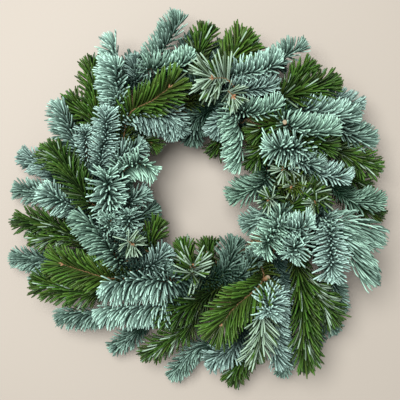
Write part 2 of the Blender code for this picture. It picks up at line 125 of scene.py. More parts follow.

# %% [markdown]
# The layout is a list of the sprays, read from the real wreath. Scattering sprays at random would
# give some wreath, but not this one. Each spray has its fir and then its shoots, and each shoot
# has a look, a roll in degrees, the length of its needles as a share of the usual one, and the places
# that it passes. Those are in millimetres from the middle of the ring: x to the right and y to the
# top as the camera sees them, and z up. The last place is where its needles end. A positive roll
# turns the upper side of the shoot to the left of its own direction, which is how a shoot that leans
# on its neighbour shows one side of its needles more than the other.
#
# The numbers are what the eye sees from above, so a high place looks further out than it is.
# true_place corrects that.

# %% Lay out the sprays
MM = 0.001
LAYOUT_LEVEL = 0.060

SPRAYS = (
    # Low at the outer foot
    ("noble",
     ("grey", 10, 1.05, (-143, 20, 28), (-176, 41, 22)),
     ("teal", 0, 1.0, (-150, -3, 22), (-183, 6, 16))),
    ("noble",
     ("teal", 0, 0.95, (-149, -68, 24), (-187, -63, 18)),
     ("teal", 0, 0.9, (-145, -74, 20), (-165, -92, 14))),
    ("noble",
     ("teal", 50, 1.15, (-91, -120, 36), (-140, -120, 28)),
     ("teal", 0, 0.9, (-61, -139, 22), (-88, -157, 16))),
    ("noble",
     ("blue", 0, 1.05, (39, -152, 38), (9, -171, 32)),
     ("teal", 10, 0.9, (6, -152, 24), (-29, -184, 16))),
    ("nordmann", ("dark", 0, 1.0, (54, -150, 28), (33, -187, 20))),
    ("noble",
     ("teal", 0, 0.9, (90, -150, 22), (84, -183, 15)),
     ("dark", 0, 0.9, (116, -128, 20), (117, -156, 14))),
    ("noble",
     ("teal", 40, 1.0, (131, -79, 34), (142, -120, 26)),
     ("teal", 0, 0.9, (120, -108, 24), (138, -141, 17))),
    ("nordmann",
     ("dark", 0, 0.9, (152, -8, 28), (183, -24, 22)),
     ("dark", 0, 0.9, (142, 22, 22), (172, 4, 15))),
    ("noble",
     ("dark", 0, 0.9, (-88, 104, 22), (-57, 139, 14)),
     ("dark", 0, 0.9, (-118, 62, 24), (-128, 96, 15)),
     ("dark", 0, 0.9, (-101, 84, 20), (-92, 122, 13))),
    ("noble",
     ("dark", 0, 0.9, (43, 124, 24), (89, 127, 16)),
     ("dark", 0, 0.9, (-18, 129, 26), (0, 156, 17)),
     ("dark", 0, 0.9, (10, 131, 22), (38, 149, 13))),
    ("nordmann",
     ("dark", 0, 1.0, (114, 66, 26), (154, 48, 17)),
     ("dark", 0, 1.0, (90, 94, 24), (124, 98, 16))),
    # Low in the hole's wall
    ("noble", ("dark", 0, 1.1, (1, 78, 48), (-7, 50, 30))),
    ("nordmann", ("dark", 0, 0.9, (25, 55, 36), (15, 38, 26))),
    ("noble",
     ("plain", 0, 0.9, (-67, -10, 55), (-46, 5, 50)),
     ("dark", 0, 0.9, (-57, -23, 36), (-37, -13, 26))),
    ("noble",
     ("leaf", -35, 1.15, (67, 15, 48), (33, -8, 40)),
     ("teal", -20, 1.0, (72, -19, 55), (44, -35, 46))),
    # Round the outside
    ("noble",
     ("teal", 50, 1.2, (-47, 129, 42), (-31, 149, 46), (-14, 177, 46)),
     ("mint", 45, 1.15, (-47, 124, 54), (-23, 125, 56), (-1, 137, 60)),
     ("grey", 0, 0.8, (-60, 112, 50), (-65, 142, 52))),
    ("nordmann",
     ("bright", 40, 1.3, (25, 121, 50), (36, 137, 50), (48, 155, 50)),
     ("mid", 0, 1.1, (0, 135, 38), (11, 163, 40)),
     ("mid", -20, 1.1, (29, 123, 44), (56, 149, 44))),
    ("noble",
     ("pale", 50, 1.15, (39, 117, 62), (65, 122, 68), (87, 132, 76)),
     ("teal", 45, 1.05, (63, 121, 46), (87, 136, 48), (110, 145, 48)),
     ("grey", 30, 1.0, (31, 103, 62), (83, 105, 66))),
    ("nordmann",
     ("dark", 25, 1.15, (86, 95, 60), (135, 107, 54)),
     ("mid", 0, 1.0, (90, 103, 52), (113, 127, 50))),
    ("noble",
     ("teal", 40, 1.25, (135, 69, 50), (156, 57, 50), (173, 48, 44)),
     ("blue", 20, 1.0, (131, 92, 42), (168, 85, 44))),
    ("nordmann",
     ("dark", 0, 1.0, (103, 51, 62), (137, 45, 66)),
     ("mid", 0, 1.0, (139, 41, 44), (177, 23, 38))),
    ("noble", ("leaf", 30, 1.05, (151, -5, 50), (187, -11, 48))),
    ("noble",
     ("swept", -35, 1.45, (123, -28, 50), (149, -32, 60), (180, -43, 60)),
     ("swept", 62, 1.5, (144, -44, 60), (156, -65, 64), (168, -87, 60))),
    ("nordmann",
     ("mid", 45, 1.3, (101, -77, 60), (106, -117, 58), (108, -171, 50)),
     ("edged", 0, 1.2, (103, -82, 56), (137, -126, 48))),
    ("noble", ("blue", 55, 1.15, (80, -91, 54), (76, -127, 50), (79, -173, 44))),
    ("nordmann",
     ("dark", 35, 1.2, (-1, -109, 63), (-37, -125, 62)),
     ("edged", 0, 0.9, (-7, -133, 44), (-27, -147, 40), (-54, -162, 30))),
    ("nordmann",
     ("bright", 0, 1.15, (-89, -85, 70), (-117, -77, 70), (-147, -67, 68)),
     ("mid", 0, 1.1, (-105, -99, 52), (-161, -89, 44))),
    ("nordmann",
     ("dark", 0, 1.0, (-135, -35, 48), (-180, -26, 40)),
     ("edged", 0, 0.9, (-119, -45, 50), (-167, -45, 42))),
    ("noble", ("pale", 10, 1.1, (-121, -15, 54), (-137, -7, 60), (-154, 7, 62))),
    ("nordmann",
     ("dark", 0, 1.0, (-107, -7, 62), (-142, 47, 62)),
     ("mid", 0, 1.0, (-115, 19, 52), (-151, 43, 44))),
    ("noble",
     ("plain", 55, 1.2, (-117, 39, 54), (-128, 63, 56), (-137, 91, 52)),
     ("white", 0, 0.75, (-110, 35, 64), (-113, 73, 84))),
    ("nordmann",
     ("mid", 0, 1.0, (-99, 68, 55), (-105, 133, 46)),
     ("mid", 0, 1.0, (-101, 71, 50), (-128, 95, 36))),
    ("noble",
     ("pale", 60, 1.15, (-79, 113, 54), (-82, 135, 56), (-84, 157, 54)),
     ("pale", 50, 1.35, (-79, 87, 62), (-80, 109, 70), (-82, 135, 80)),
     ("teal", 40, 0.8, (-85, 79, 66), (-76, 107, 72))),
    # Round the hole
    ("noble",
     ("grey_side", -60, 1.35, (-71, 72, 55), (-47, 77, 60), (-17, 73, 58)),
     ("grey", 0, 1.15, (-31, 81, 55), (-17, 55, 48))),
    ("noble",
     ("mint_side", -58, 1.25, (35, 81, 64), (42, 58, 66), (43, 23, 58)),
     ("grey", 0, 1.0, (27, 75, 60), (15, 54, 54))),
    ("nordmann",
     ("edged", 0, 1.0, (87, 68, 64), (50, 59, 58)),
     ("dark", 0, 1.0, (73, 51, 54), (50, 27, 48))),
    ("noble",
     ("dark", 0, 1.2, (28, -79, 56), (39, -46, 48)),
     ("dark", 0, 1.1, (45, -84, 60), (62, -57, 54))),
    ("nordmann",
     ("silver", 0, 1.2, (-2, -84, 60), (-5, -68, 90)),
     ("dark", 0, 1.0, (12, -69, 48), (9, -48, 40)),
     ("mid", 0, 1.0, (-8, -71, 50), (-15, -48, 44))),
    ("noble",
     ("grey", 0, 1.0, (-47, -73, 57), (-25, -53, 54)),
     ("dark", 0, 0.9, (-39, -81, 58), (-21, -69, 56))),
    ("nordmann",
     ("mid", 0, 1.0, (-47, -55, 46), (-40, -26, 40)),
     ("under", 0, 0.8, (-68, -48, 64), (-60, -54, 90))),
    ("noble",
     ("plain", 0, 1.0, (-67, -43, 62), (-69, -12, 78)),
     ("palest", 0, 0.9, (-89, -43, 66), (-86, -16, 80))),
    # On the crown
    ("nordmann",
     ("silver", 0, 0.9, (90, 28, 62), (84, 19, 88)),
     ("silver", 0, 0.9, (122, -4, 62), (114, -15, 88)),
     ("edged", 0, 1.2, (87, -14, 58), (123, 5, 62))),
    ("nordmann",
     ("silver", 0, 0.9, (76, -4, 64), (69, -10, 90)),
     ("olive", 0, 0.85, (98, 10, 62), (93, 3, 90))),
    ("noble",
     ("pale", 55, 1.4, (-29, -89, 72), (-57, -89, 78), (-95, -93, 86)),
     ("pale", 65, 1.35, (-29, -110, 60), (-57, -114, 62), (-100, -116, 62))),
    ("noble", ("sage", 60, 1.25, (-79, -69, 66), (-96, -45, 72), (-119, -18, 72))),
    ("noble", ("palest", 0, 1.35, (-84, -19, 66), (-88, -3, 76), (-91, 25, 92))),
    ("noble",
     ("cream", -30, 1.15, (-75, 19, 70), (-58, 29, 78), (-38, 21, 80)),
     ("plain", 0, 1.0, (-79, 33, 66), (-50, 50, 64))),
    ("noble", ("white", 0, 0.95, (-96, 33, 68), (-91, 57, 76), (-90, 89, 88))),
    ("nordmann",
     ("bright", 0, 1.2, (-68, 76, 67), (-42, 93, 76), (-16, 113, 81)),
     ("mid", 0, 0.8, (-51, 53, 46), (-34, 44, 46))),
    ("noble", ("mint", 55, 1.05, (43, 81, 68), (65, 79, 74), (88, 91, 76))),
    ("nordmann",
     ("under", 0, 1.4, (32, 109, 66), (5, 114, 92)),
     ("under", -20, 0.9, (31, 101, 66), (41, 87, 84))),
    ("noble",
     ("pale", 58, 1.15, (105, 83, 60), (131, 77, 63), (159, 73, 60)),
     ("mint", 62, 1.2, (89, 69, 72), (105, 62, 77), (122, 59, 80), (140, 61, 78))),
    ("noble", ("palest", -10, 1.3, (107, 42, 70), (91, 44, 78), (65, 45, 86))),
    ("noble",
     ("plain", 35, 1.0, (99, 33, 66), (129, 26, 74)),
     ("white", 40, 1.0, (121, 21, 62), (156, 12, 70))),
    ("noble", ("white", 0, 1.2, (129, -29, 60), (133, -57, 72), (133, -89, 84))),
    ("noble",
     ("mint", -10, 1.15, (83, -25, 68), (74, -43, 78), (61, -63, 88)),
     ("pale", 50, 1.1, (83, -35, 68), (100, -36, 77), (119, -28, 84)),
     ("pale", 0, 1.1, (100, -44, 72), (92, -70, 90))),
    ("noble", ("white", 0, 1.15, (72, -97, 66), (71, -109, 78), (70, -126, 92))),
    ("nordmann",
     ("bright", 0, 1.3, (65, -87, 73), (38, -113, 80), (16, -140, 74)),
     ("under", 40, 1.15, (65, -115, 70), (64, -139, 74), (57, -165, 68))),
)


def true_place(place):
    """A place of the layout, moved in towards the middle by what the eye's height adds at its level."""
    x, y, z = (value * MM for value in place)
    nearness = (EYE_HEIGHT - z) / (EYE_HEIGHT - LAYOUT_LEVEL)
    return np.array((x * nearness, y * nearness, z))


shoot_count = sum(len(shoots) for fir, *shoots in SPRAYS)
print(len(SPRAYS), "sprays with", shoot_count, "shoots")

# %% [markdown]
# Each spray's stem is bound to the straw at one turn of the wire, and its twigs run from there to
# the places above without meeting another spray. The search for a free seat is the same one that
# made the frame, repeated step by step, so each spray that grows here lies where its solid lies.
# Rods stand in for twigs while it searches: a gap between two rods is quick to work out.

# %% Measure the straw ring and its seats
RING_RADIUS = 0.100
STRAW_RADIUS = 0.025
STRAW_SIDES = 12
WIRE_TURNS = 18
WIRE_RADIUS = 0.0006
STEM_RADIUS = 0.0015
STEM_LENGTH = 0.014
TOUCHING_GAP = 0.0003
UP = np.array((0.0, 0.0, 1.0))

# The frame's straw has flat sides and rests on one of them, with a groove in it for each turn of wire
SIDE_ANGLE = 2 * math.pi / STRAW_SIDES
STRAW_HEIGHT = STRAW_RADIUS * math.cos(SIDE_ANGLE / 2)
TURN_ANGLE = 2 * math.pi / WIRE_TURNS
GROOVE_DEPTH = 0.0019
# Stems lie along the corners of the straw's cross-section, from its outer foot over to its inner foot
STEM_ROWS = [math.radians(angle) for angle in (-15, 15, 45, 75, 105, 135, 165)]
STEM_REACH = STRAW_RADIUS + TOUCHING_GAP + STEM_RADIUS
WIRE_REACH_OVER_STEM = 0.0294
WIRE_REACH_ON_STRAW = 0.0261


def unit(vector):
    return vector / np.linalg.norm(vector)


def ring_point(turn, row, reach):
    """A point beside the straw: turn is the angle round the wreath, row the angle round the straw."""
    across = RING_RADIUS + reach * math.cos(row)
    height = STRAW_HEIGHT + reach * math.sin(row)
    return np.array((across * math.cos(turn), across * math.sin(turn), height))


def seat_of(turn, row, sense):
    """The three points of a stem bound at a turn of the wire, and its ways out. Sense 1 is clockwise."""
    half_angle = STEM_LENGTH / 2 / (RING_RADIUS + STEM_REACH * math.cos(row))
    middle = turn * TURN_ANGLE
    points = [ring_point(middle - shift * sense * half_angle, row, STEM_REACH) for shift in (-1, 0, 1)]
    onward = unit(points[2] - points[1])
    outward = unit(points[1] - ring_point(middle, row, 0))
    return points, onward, outward


def wire_path(taken):
    """One long wire: round the straw in turns, over every stem, and on to the next at the inner foot."""
    # From below the inner side, outwards under the straw, over the top and down to the inner foot
    corners = [math.radians(angle) for angle in range(-135, 196, 30)]
    path = []
    for turn in range(WIRE_TURNS):
        for corner in corners:
            reach = WIRE_REACH_ON_STRAW
            if any(seat == turn and abs(row - corner) < SIDE_ANGLE / 2 for seat, row in taken):
                reach = WIRE_REACH_OVER_STEM
            point = ring_point(turn * TURN_ANGLE, corner, reach)
            if point[2] < GROOVE_DEPTH:
                point = ring_point(turn * TURN_ANGLE, corner, STRAW_RADIUS)
                point[2] = WIRE_RADIUS + TOUCHING_GAP
            path.append(point)
    return path


print("stems can lie in", len(STEM_ROWS), "rows at each of", WIRE_TURNS, "turns of the wire")

# %% Draw a smooth curve through places
MOST_BEND = math.radians(35)


def curve_through(points, first_heading, spacing):
    """Points about spacing apart on a smooth curve that sets out along first_heading."""
    points = [np.array(point) for point in points]
    headings = [first_heading]
    for before, after in zip(points[:-2], points[2:]):
        headings.append(unit(after - before))
    headings.append(unit(points[-1] - points[-2]))
    path = [points[0]]
    for start, end, leave, arrive in zip(points[:-1], points[1:], headings[:-1], headings[1:]):
        length = np.linalg.norm(end - start)
        turned = math.acos(max(-1, min(1, leave @ arrive)))
        steps = max(1, round(length / spacing), round(turned / MOST_BEND))
        for step in range(1, steps + 1):
            t = step / steps
            path.append(
                (2 * t ** 3 - 3 * t ** 2 + 1) * start
                + (t ** 3 - 2 * t ** 2 + t) * length * leave
                + (3 * t ** 2 - 2 * t ** 3) * end
                + (t ** 3 - t ** 2) * length * arrive
            )
    return path


# %% Test whether a rod is clear of what is laid so far
FLOOR_GAP = 0.0012
POINTS_TESTED = 9
NEARLY_PARALLEL = 1e-18
# The open middle, kept free of twigs: lowest and highest x, then lowest and highest y
OPENING_X = (-0.034, 0.021)
OPENING_Y = (-0.032, 0.032)


def segment_gaps(a, b, starts, ends):
    """Shortest distance from the line a to b to each of many lines, from starts to ends."""
    along = b - a
    others = ends - starts
    between = a - starts
    own_square = along @ along
    other_square = np.einsum("ij,ij->i", others, others)
    mixed = others @ along
    own_part = between @ along
    other_part = np.einsum("ij,ij->i", others, between)
    spread = np.maximum(own_square * other_square - mixed ** 2, NEARLY_PARALLEL)
    s = np.clip((mixed * other_part - own_part * other_square) / spread, 0, 1)
    t = np.clip((mixed * s + other_part) / other_square, 0, 1)
    s = np.clip((mixed * t - own_part) / own_square, 0, 1)
    return np.linalg.norm(between + s[:, None] * along - t[:, None] * others, axis=1)


class Crowd:
    """Everything laid so far, as straight rods with a start, an end and a radius."""

    def __init__(self):
        self.starts = np.empty((0, 3))
        self.ends = np.empty((0, 3))
        self.radii = np.empty(0)

    def add(self, path, radii):
        self.starts = np.vstack((self.starts, path[:-1]))
        self.ends = np.vstack((self.ends, path[1:]))
        self.radii = np.append(self.radii, np.maximum(radii[:-1], radii[1:]))

    def room(self, a, b, radius):
        """The narrowest gap between a rod and those laid so far."""
        return (segment_gaps(a, b, self.starts, self.ends) - self.radii).min() - radius


def meets_fixed_things(a, b, radius):
    """True where a rod touches the straw, the surface below or the open middle."""
    points = a + (b - a) * np.linspace(0, 1, POINTS_TESTED)[:, None]
    across = np.hypot(points[:, 0], points[:, 1]) - RING_RADIUS
    from_straw = np.hypot(across, points[:, 2] - STRAW_HEIGHT)
    if from_straw.min() < STRAW_RADIUS + radius + TOUCHING_GAP:
        return True
    if points[:, 2].min() < radius + FLOOR_GAP:
        return True
    in_x = (points[:, 0] > OPENING_X[0] - radius) & (points[:, 0] < OPENING_X[1] + radius)
    in_y = (points[:, 1] > OPENING_Y[0] - radius) & (points[:, 1] < OPENING_Y[1] + radius)
    return bool((in_x & in_y).any())


# %% Find each spray its seat under the wire
SHOOT_RADIUS = 0.0022
TIP_RADIUS = 0.0012
TIP_REACH = 0.013
CORE_STEP = 0.016
TWIG_GAP = 0.0005
PRESSED_INTO_STRAW = 0.0001
# How many points of the first twig belong to the stem under the wire
STEM_POINTS = 2
STEM_RISE = 0.5
BARE_SHARE = 0.7
SHORT_TWIG = 0.030
COST_OF_LYING_REVERSED = 0.4
COST_THROUGH_STRAW = 3
COST_OF_BEND = 2
# A spray that finds no clear way is lifted or lowered by so many millimetres, then tries its next seat
LIFT_STEPS = (0, 2, -2, 4, -4, 6, -6, 8, 10, 12)
SEATS_TRIED = 60


def best_seats(foot, heading):
    """Seats in order: near behind the foot of the shoot, with little to bend and no straw in the way."""
    seats = []
    for turn, row, sense in itertools.product(range(WIRE_TURNS), STEM_ROWS, (1, -1)):
        points, onward, outward = seat_of(turn, row, sense)
        distance = np.linalg.norm(foot - points[2])
        way = (foot - points[2]) / distance
        cost = abs(distance - SHORT_TWIG) / SHORT_TWIG
        cost += COST_OF_BEND * ((1 - way @ onward) + (1 - way @ heading))
        cost += COST_THROUGH_STRAW * max(0, -(way @ outward))
        if sense == -1:
            cost += COST_OF_LYING_REVERSED
        seats.append((cost, turn, row, sense))
    return [seat[1:] for seat in sorted(seats)]


def twig_places(places, lift):
    """The places that a shoot's twig passes, which ends short of where its needles reach."""
    places = [true_place(place) + UP * lift for place in places]
    places[-1] = places[-1] - unit(places[-1] - places[-2]) * TIP_REACH
    return places


def shoot_radii(count, bare):
    """Radii along a shoot: thin while it is bare, thicker where it has needles, thin again at the tip."""
    radii = [STEM_RADIUS] * bare + [SHOOT_RADIUS] * (count - bare)
    radii[-1] = TIP_RADIUS
    return radii


def lay_twigs(shoots, seat, onward, outward, lift):
    """One spray's twigs: for each the places it is drawn through, its first heading, its path and
    how many points of the path are bare."""
    raised = [twig_places(places, lift) for look, roll, length_share, *places in shoots]
    heading = unit(onward + STEM_RISE * outward)
    leader = curve_through([seat[2]] + raised[0], heading, CORE_STEP)
    to_first_place = np.linalg.norm(raised[0][0] - seat[2])
    bare = STEM_POINTS + max(1, round(BARE_SHARE * to_first_place / CORE_STEP))
    twigs = [([seat[2]] + raised[0], heading, seat[:STEM_POINTS] + leader, bare)]
    for places in raised[1:]:
        # It forks off where the way to its first place is short and bends little at both ends
        fork_cost = []
        for index in range(len(leader) - 1):
            away = places[0] - leader[index]
            distance = np.linalg.norm(away)
            bend = (1 - unit(leader[index + 1] - leader[index]) @ away / distance)
            bend += (1 - unit(places[1] - places[0]) @ away / distance)
            fork_cost.append((distance + SHORT_TWIG * bend, index))
        fork = min(fork_cost)[1]
        ahead = unit(leader[fork + 1] - leader[fork])
        away = unit(places[0] - leader[fork])
        heading = unit(ahead + away)
        through = [leader[fork]] + places
        twigs.append((through, heading, curve_through(through, heading, CORE_STEP), 1))
    return twigs


def twigs_are_clear(twigs, crowd):
    """True where no twig, past the stem that the wire holds, meets another spray or anything fixed."""
    for number, (through, heading, path, bare) in enumerate(twigs):
        radii = shoot_radii(len(path), bare)
        first_free = STEM_POINTS if number == 0 else 0
        for index in range(first_free, len(path) - 1):
            radius = max(radii[index], radii[index + 1])
            if meets_fixed_things(path[index], path[index + 1], radius - PRESSED_INTO_STRAW):
                return False
            if crowd.room(path[index], path[index + 1], radius) < TWIG_GAP:
                return False
    return True


def lay_spray(number, shoots, crowd, taken):
    """The first seat and the smallest lift that pass clear of all that is laid so far."""
    look, roll, length_share, *places = shoots[0]
    first_foot = true_place(places[0])
    heading = unit(true_place(places[1]) - first_foot)
    for turn, row, sense in best_seats(first_foot, heading)[:SEATS_TRIED]:
        if (turn, row) in taken:
            continue
        seat, onward, outward = seat_of(turn, row, sense)
        for lift in LIFT_STEPS:
            twigs = lay_twigs(shoots, seat, onward, outward, lift * MM)
            if twigs_are_clear(twigs, crowd):
                taken.add((turn, row))
                for through, heading, path, bare in twigs:
                    crowd.add(path, shoot_radii(len(path), bare))
                return seat, twigs
    raise ValueError(f"no clear way for spray {number}")


crowd = Crowd()
# The twigs keep clear of the wire as it would run with a stem at every seat
loose_wire = wire_path({(turn, row) for turn in range(WIRE_TURNS) for row in STEM_ROWS})
crowd.add(loose_wire, [WIRE_RADIUS] * len(loose_wire))
taken_seats = set()
laid_sprays = []
for number, (fir, *shoots) in enumerate(SPRAYS):
    laid_sprays.append(lay_spray(number, shoots, crowd, taken_seats))
print(len(laid_sprays), "sprays laid on", len(taken_seats), "seats")

# %% [markdown]
# Everything round and long, which is the twigs, the wire and the straws, is drawn as a tube. A curve
# with a bevel would give one too, but a tube made of faces can share a mesh with the needles. A
# circle is extruded from point to point of a path, and a frame that travels along the path turns it.
# Such a frame is carried from one point to the next by the smallest turn between the two headings,
# so the tube never twists.

# %% Sweep a tube along a path
def travelling_frames(path):
    """A matrix for each point of a path: its Z axis points along the path."""
    points = [Vector(point) for point in path]
    ways = [(after - before).normalized() for before, after in zip(points[:-1], points[1:])]
    middles = [(a + b).normalized() for a, b in zip(ways[:-1], ways[1:])]
    headings = [ways[0]] + middles + [ways[-1]]
    turn = Vector((0, 0, 1)).rotation_difference(headings[0])
    frames = []
    previous = headings[0]
    for point, heading in zip(points, headings):
        turn = previous.rotation_difference(heading) @ turn
        frames.append(Matrix.Translation(point) @ turn.to_matrix().to_4x4())
        previous = heading
    return frames


def new_mesh(maker, name):
    """A mesh of what a bmesh holds. The bmesh is freed."""
    mesh = bpy.data.meshes.new(name)
    maker.to_mesh(mesh)
    maker.free()
    return mesh


def add_tube(maker, path, radii, sides, material_index=0, starts_cut=False):
    """Adds a closed tube along a path. It is made apart, because an operator is slow in a large mesh."""
    tube = bmesh.new()
    cut = tube.faces.layers.float.new("cut")
    frames = [frame @ Matrix.Scale(radius, 4) for frame, radius in zip(travelling_frames(path), radii)]
    ring = bmesh.ops.create_circle(tube, segments=sides, radius=1, matrix=frames[0], cap_ends=True)["verts"]
    start_face = ring[0].link_faces[0]
    edges = tube.edges[:]
    for before, after in zip(frames[:-1], frames[1:]):
        grown = bmesh.ops.extrude_edge_only(tube, edges=edges)["geom"]
        ring = [part for part in grown if isinstance(part, bmesh.types.BMVert)]
        edges = [part for part in grown if isinstance(part, bmesh.types.BMEdge)
                 and part.verts[0] in ring and part.verts[1] in ring]
        bmesh.ops.transform(tube, matrix=after @ before.inverted(), verts=ring)
    bmesh.ops.contextual_create(tube, geom=edges)
    bmesh.ops.recalc_face_normals(tube, faces=tube.faces)
    for face in tube.faces:
        face.material_index = material_index
        face.smooth = True
    start_face[cut] = float(starts_cut)
    start_face.smooth = False
    tube_mesh = new_mesh(tube, "tube")
    maker.from_mesh(tube_mesh)
    bpy.data.meshes.remove(tube_mesh)


def finish_piece(maker, name, materials):
    """An object of what the maker holds, moved to the middle of the wreath in its own mesh."""
    bmesh.ops.translate(maker, vec=(ring_middle.x, ring_middle.y, 0), verts=maker.verts)
    mesh = new_mesh(maker, name)
    for material in materials:
        mesh.materials.append(material)
    piece = add_object(name, mesh)
    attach(piece, "root")
    return piece


# %% [markdown]
# A finish is a node tree. Painted pictures could be laid on the needles instead, but noise and a few
# numbers kept in the mesh give every needle a tone of its own at no cost. The helpers keep the trees
# short: each adds one node and gives back the socket that the next node reads.

# %% Helpers for the finishes
class Finish:
    """A material with a Principled shader, and short ways to add nodes to it."""

    def __init__(self, name, roughness, gloss=0.3):
        self.material = bpy.data.materials.new(name)
        self.material.use_nodes = True
        self.tree = self.material.node_tree
        self.shader = self.tree.nodes["Principled BSDF"]
        self.shader.inputs["Roughness"].default_value = roughness
        self.shader.inputs["Specular IOR Level"].default_value = gloss

    def node(self, kind, inputs=(), **settings):
        """A new node with its settings, each of its inputs fed by a value or by another node."""
        made = self.tree.nodes.new(kind)
        for name, value in settings.items():
            setattr(made, name, value)
        for key, value in dict(inputs).items():
            self.feed(made.inputs[key], value)
        return made

    def feed(self, socket, value):
        if isinstance(value, bpy.types.NodeSocket):
            self.tree.links.new(value, socket)
        else:
            socket.default_value = value

    def attribute(self, name):
        """A number that the mesh keeps under this name."""
        return self.node("ShaderNodeAttribute", attribute_name=name).outputs["Fac"]

    def place(self):
        """Where a point lies in its object."""
        return self.node("ShaderNodeTexCoord").outputs["Object"]

    def uv_map(self):
        return self.node("ShaderNodeUVMap").outputs["UV"]

    def across_and_along(self):
        """The two numbers of the UV map, which run across a needle and along it."""
        return self.node("ShaderNodeSeparateXYZ", {"Vector": self.uv_map()}).outputs[:2]

    def mix(self, factor, first, second):
        """The first colour where the factor is 0, the second where it is 1."""
        made = self.node("ShaderNodeMix", data_type="RGBA")
        for name, value in (("Factor", factor), ("A", first), ("B", second)):
            socket = next(socket for socket in made.inputs if socket.name == name and socket.enabled)
            self.feed(socket, (*value, 1) if isinstance(value, tuple) else value)
        return next(socket for socket in made.outputs if socket.enabled)

    def product(self, first, *others):
        """All the values multiplied with each other."""
        for value in others:
            made = self.node("ShaderNodeMath", {0: first, 1: value}, operation="MULTIPLY")
            first = made.outputs["Value"]
        return first

    def ramp(self, value, stops):
        """Straight slopes from stop to stop, where each stop is a place and a height."""
        made = self.node("ShaderNodeValToRGB", {"Fac": value})
        elements = made.color_ramp.elements
        while len(elements) < len(stops):
            elements.new(0.5)
        for element, (place, height) in zip(elements, stops):
            element.position = place
            element.color = (height, height, height, 1)
        return made.outputs["Color"]

    def noise(self, scale, detail=3, vector=None):
        if vector is None:
            vector = self.place()
        inputs = {"Vector": vector, "Scale": scale, "Detail": detail}
        return self.node("ShaderNodeTexNoise", inputs).outputs["Fac"]

    def cells(self, scale):
        """How far a point lies from the middle of its cell."""
        inputs = {"Vector": self.place(), "Scale": scale}
        return self.node("ShaderNodeTexVoronoi", inputs).outputs["Distance"]

    def bump(self, height, distance):
        made = self.node("ShaderNodeBump", {"Height": height, "Distance": distance})
        self.tree.links.new(made.outputs["Normal"], self.shader.inputs["Normal"])

    def colour(self, socket):
        """Feeds the shader's colour and gives back the finished material."""
        self.tree.links.new(socket, self.shader.inputs["Base Color"])
        return self.material


# %% [markdown]
# A noble fir's needle is blue-green under a pale wax, and the wax lies in bands beside the middle
# rib. Painted shade darkens it towards its foot, deep in the shoot. The bands follow the needle, so
# they are drawn by its own UV map, where U runs across and V along it. How light the wax is, with
# painted shade on needles in the shade of their neighbours, and whether it looks blue or mint, are
# two numbers on each needle: its light and its hue.

# %% The noble fir's needles
WAX_ACROSS = ((0.0, 0.35), (0.2, 1.0), (0.4, 0.9), (0.5, 0.5), (0.6, 0.9), (0.8, 1.0), (1.0, 0.35))
NOBLE_SHADE_ALONG = ((0.0, 0.0), (0.3, 0.22), (0.6, 0.9), (0.85, 1.0))

noble = Finish("noble_needles", roughness=0.6, gloss=0.05)
across, along = noble.across_and_along()
patches = noble.ramp(noble.noise(140), ((0.3, 0.8), (0.7, 1.0)))
bands = noble.ramp(across, WAX_ACROSS)
# Painted shade: the pale wax fades to the dark green towards the needle's foot, deep in the shoot
shaded_foot = noble.ramp(along, NOBLE_SHADE_ALONG)
wax_and_shade = noble.product(noble.attribute("light"), bands, patches, shaded_foot)
deep = noble.mix(noble.attribute("hue"), (0.0043, 0.019, 0.014), (0.0043, 0.022, 0.0086))
pale = noble.mix(noble.attribute("hue"), (0.505, 0.735, 0.660), (0.455, 0.742, 0.565))
noble_material = noble.colour(noble.mix(wax_and_shade, deep, pale))
print("the noble fir's finish has", len(noble.tree.nodes), "nodes")

# %% [markdown]
# A Nordmann fir's needle is glossy green above, with a paler rib, and painted shade darkens it
# towards its foot, deep in the shoot. Below it has two silver bands with green between them. Which
# side a face is on is a number on the face.

# %% The Nordmann fir's needles
RIB_ACROSS = ((0.0, 0.0), (0.42, 0.1), (0.5, 1.0), (0.58, 0.1), (1.0, 0.0))
SILVER_ACROSS = ((0.08, 0.0), (0.2, 1.0), (0.4, 1.0), (0.5, 0.0), (0.6, 1.0), (0.8, 1.0), (0.92, 0.0))
NORDMANN_SHADE_ALONG = ((0.0, 0.08), (0.35, 0.5), (0.7, 1.0))
RIB_STRENGTH = 0.25
SILVER_STRENGTH = 1.15

nordmann = Finish("nordmann_needles", roughness=0.36, gloss=0.17)
across, along = nordmann.across_and_along()
patches = nordmann.ramp(nordmann.noise(120), ((0.3, 0.7), (0.7, 1.0)))
# Painted shade: the green darkens towards the needle's foot, deep in the shoot
light = nordmann.product(nordmann.attribute("light"), patches, nordmann.ramp(along, NORDMANN_SHADE_ALONG))
green = nordmann.mix(light, (0.0018, 0.0065, 0.0022), (0.052, 0.140, 0.018))
green = nordmann.mix(nordmann.attribute("hue"), green, (0.115, 0.144, 0.022))
rib = nordmann.product(nordmann.ramp(across, RIB_ACROSS), RIB_STRENGTH)
green = nordmann.mix(rib, green, (0.158, 0.259, 0.065))
silver_bands = nordmann.ramp(across, SILVER_ACROSS)
silver_light = nordmann.product(nordmann.attribute("light"), SILVER_STRENGTH)
silver = nordmann.product(silver_bands, nordmann.attribute("under"), silver_light)
nordmann_material = nordmann.colour(nordmann.mix(silver, green, (0.331, 0.454, 0.360)))
print("the Nordmann fir's finish has", len(nordmann.tree.nodes), "nodes")

# %% [markdown]
# The twigs have a thin orange-brown bark with small scars where needles fell. A stem that was cut
# shows pale wood at its end. The buds are red-brown and scaly, with a little resin that makes them
# shine. Scars and scales are both cells: each point takes its tone from how far it lies from the
# middle of its cell.

# %% Bark and buds
RELIEF = 0.0003
CUT_WOOD = (0.230, 0.180, 0.115)

bark = Finish("bark", roughness=0.75)
scars = bark.cells(700)
brown = bark.mix(bark.noise(260), (0.085, 0.042, 0.018), (0.215, 0.118, 0.048))
brown = bark.mix(bark.ramp(scars, ((0.15, 1.0), (0.35, 0.0))), brown, (0.086, 0.043, 0.022))
bark.bump(scars, RELIEF)
bark_material = bark.colour(bark.mix(bark.attribute("cut"), brown, CUT_WOOD))

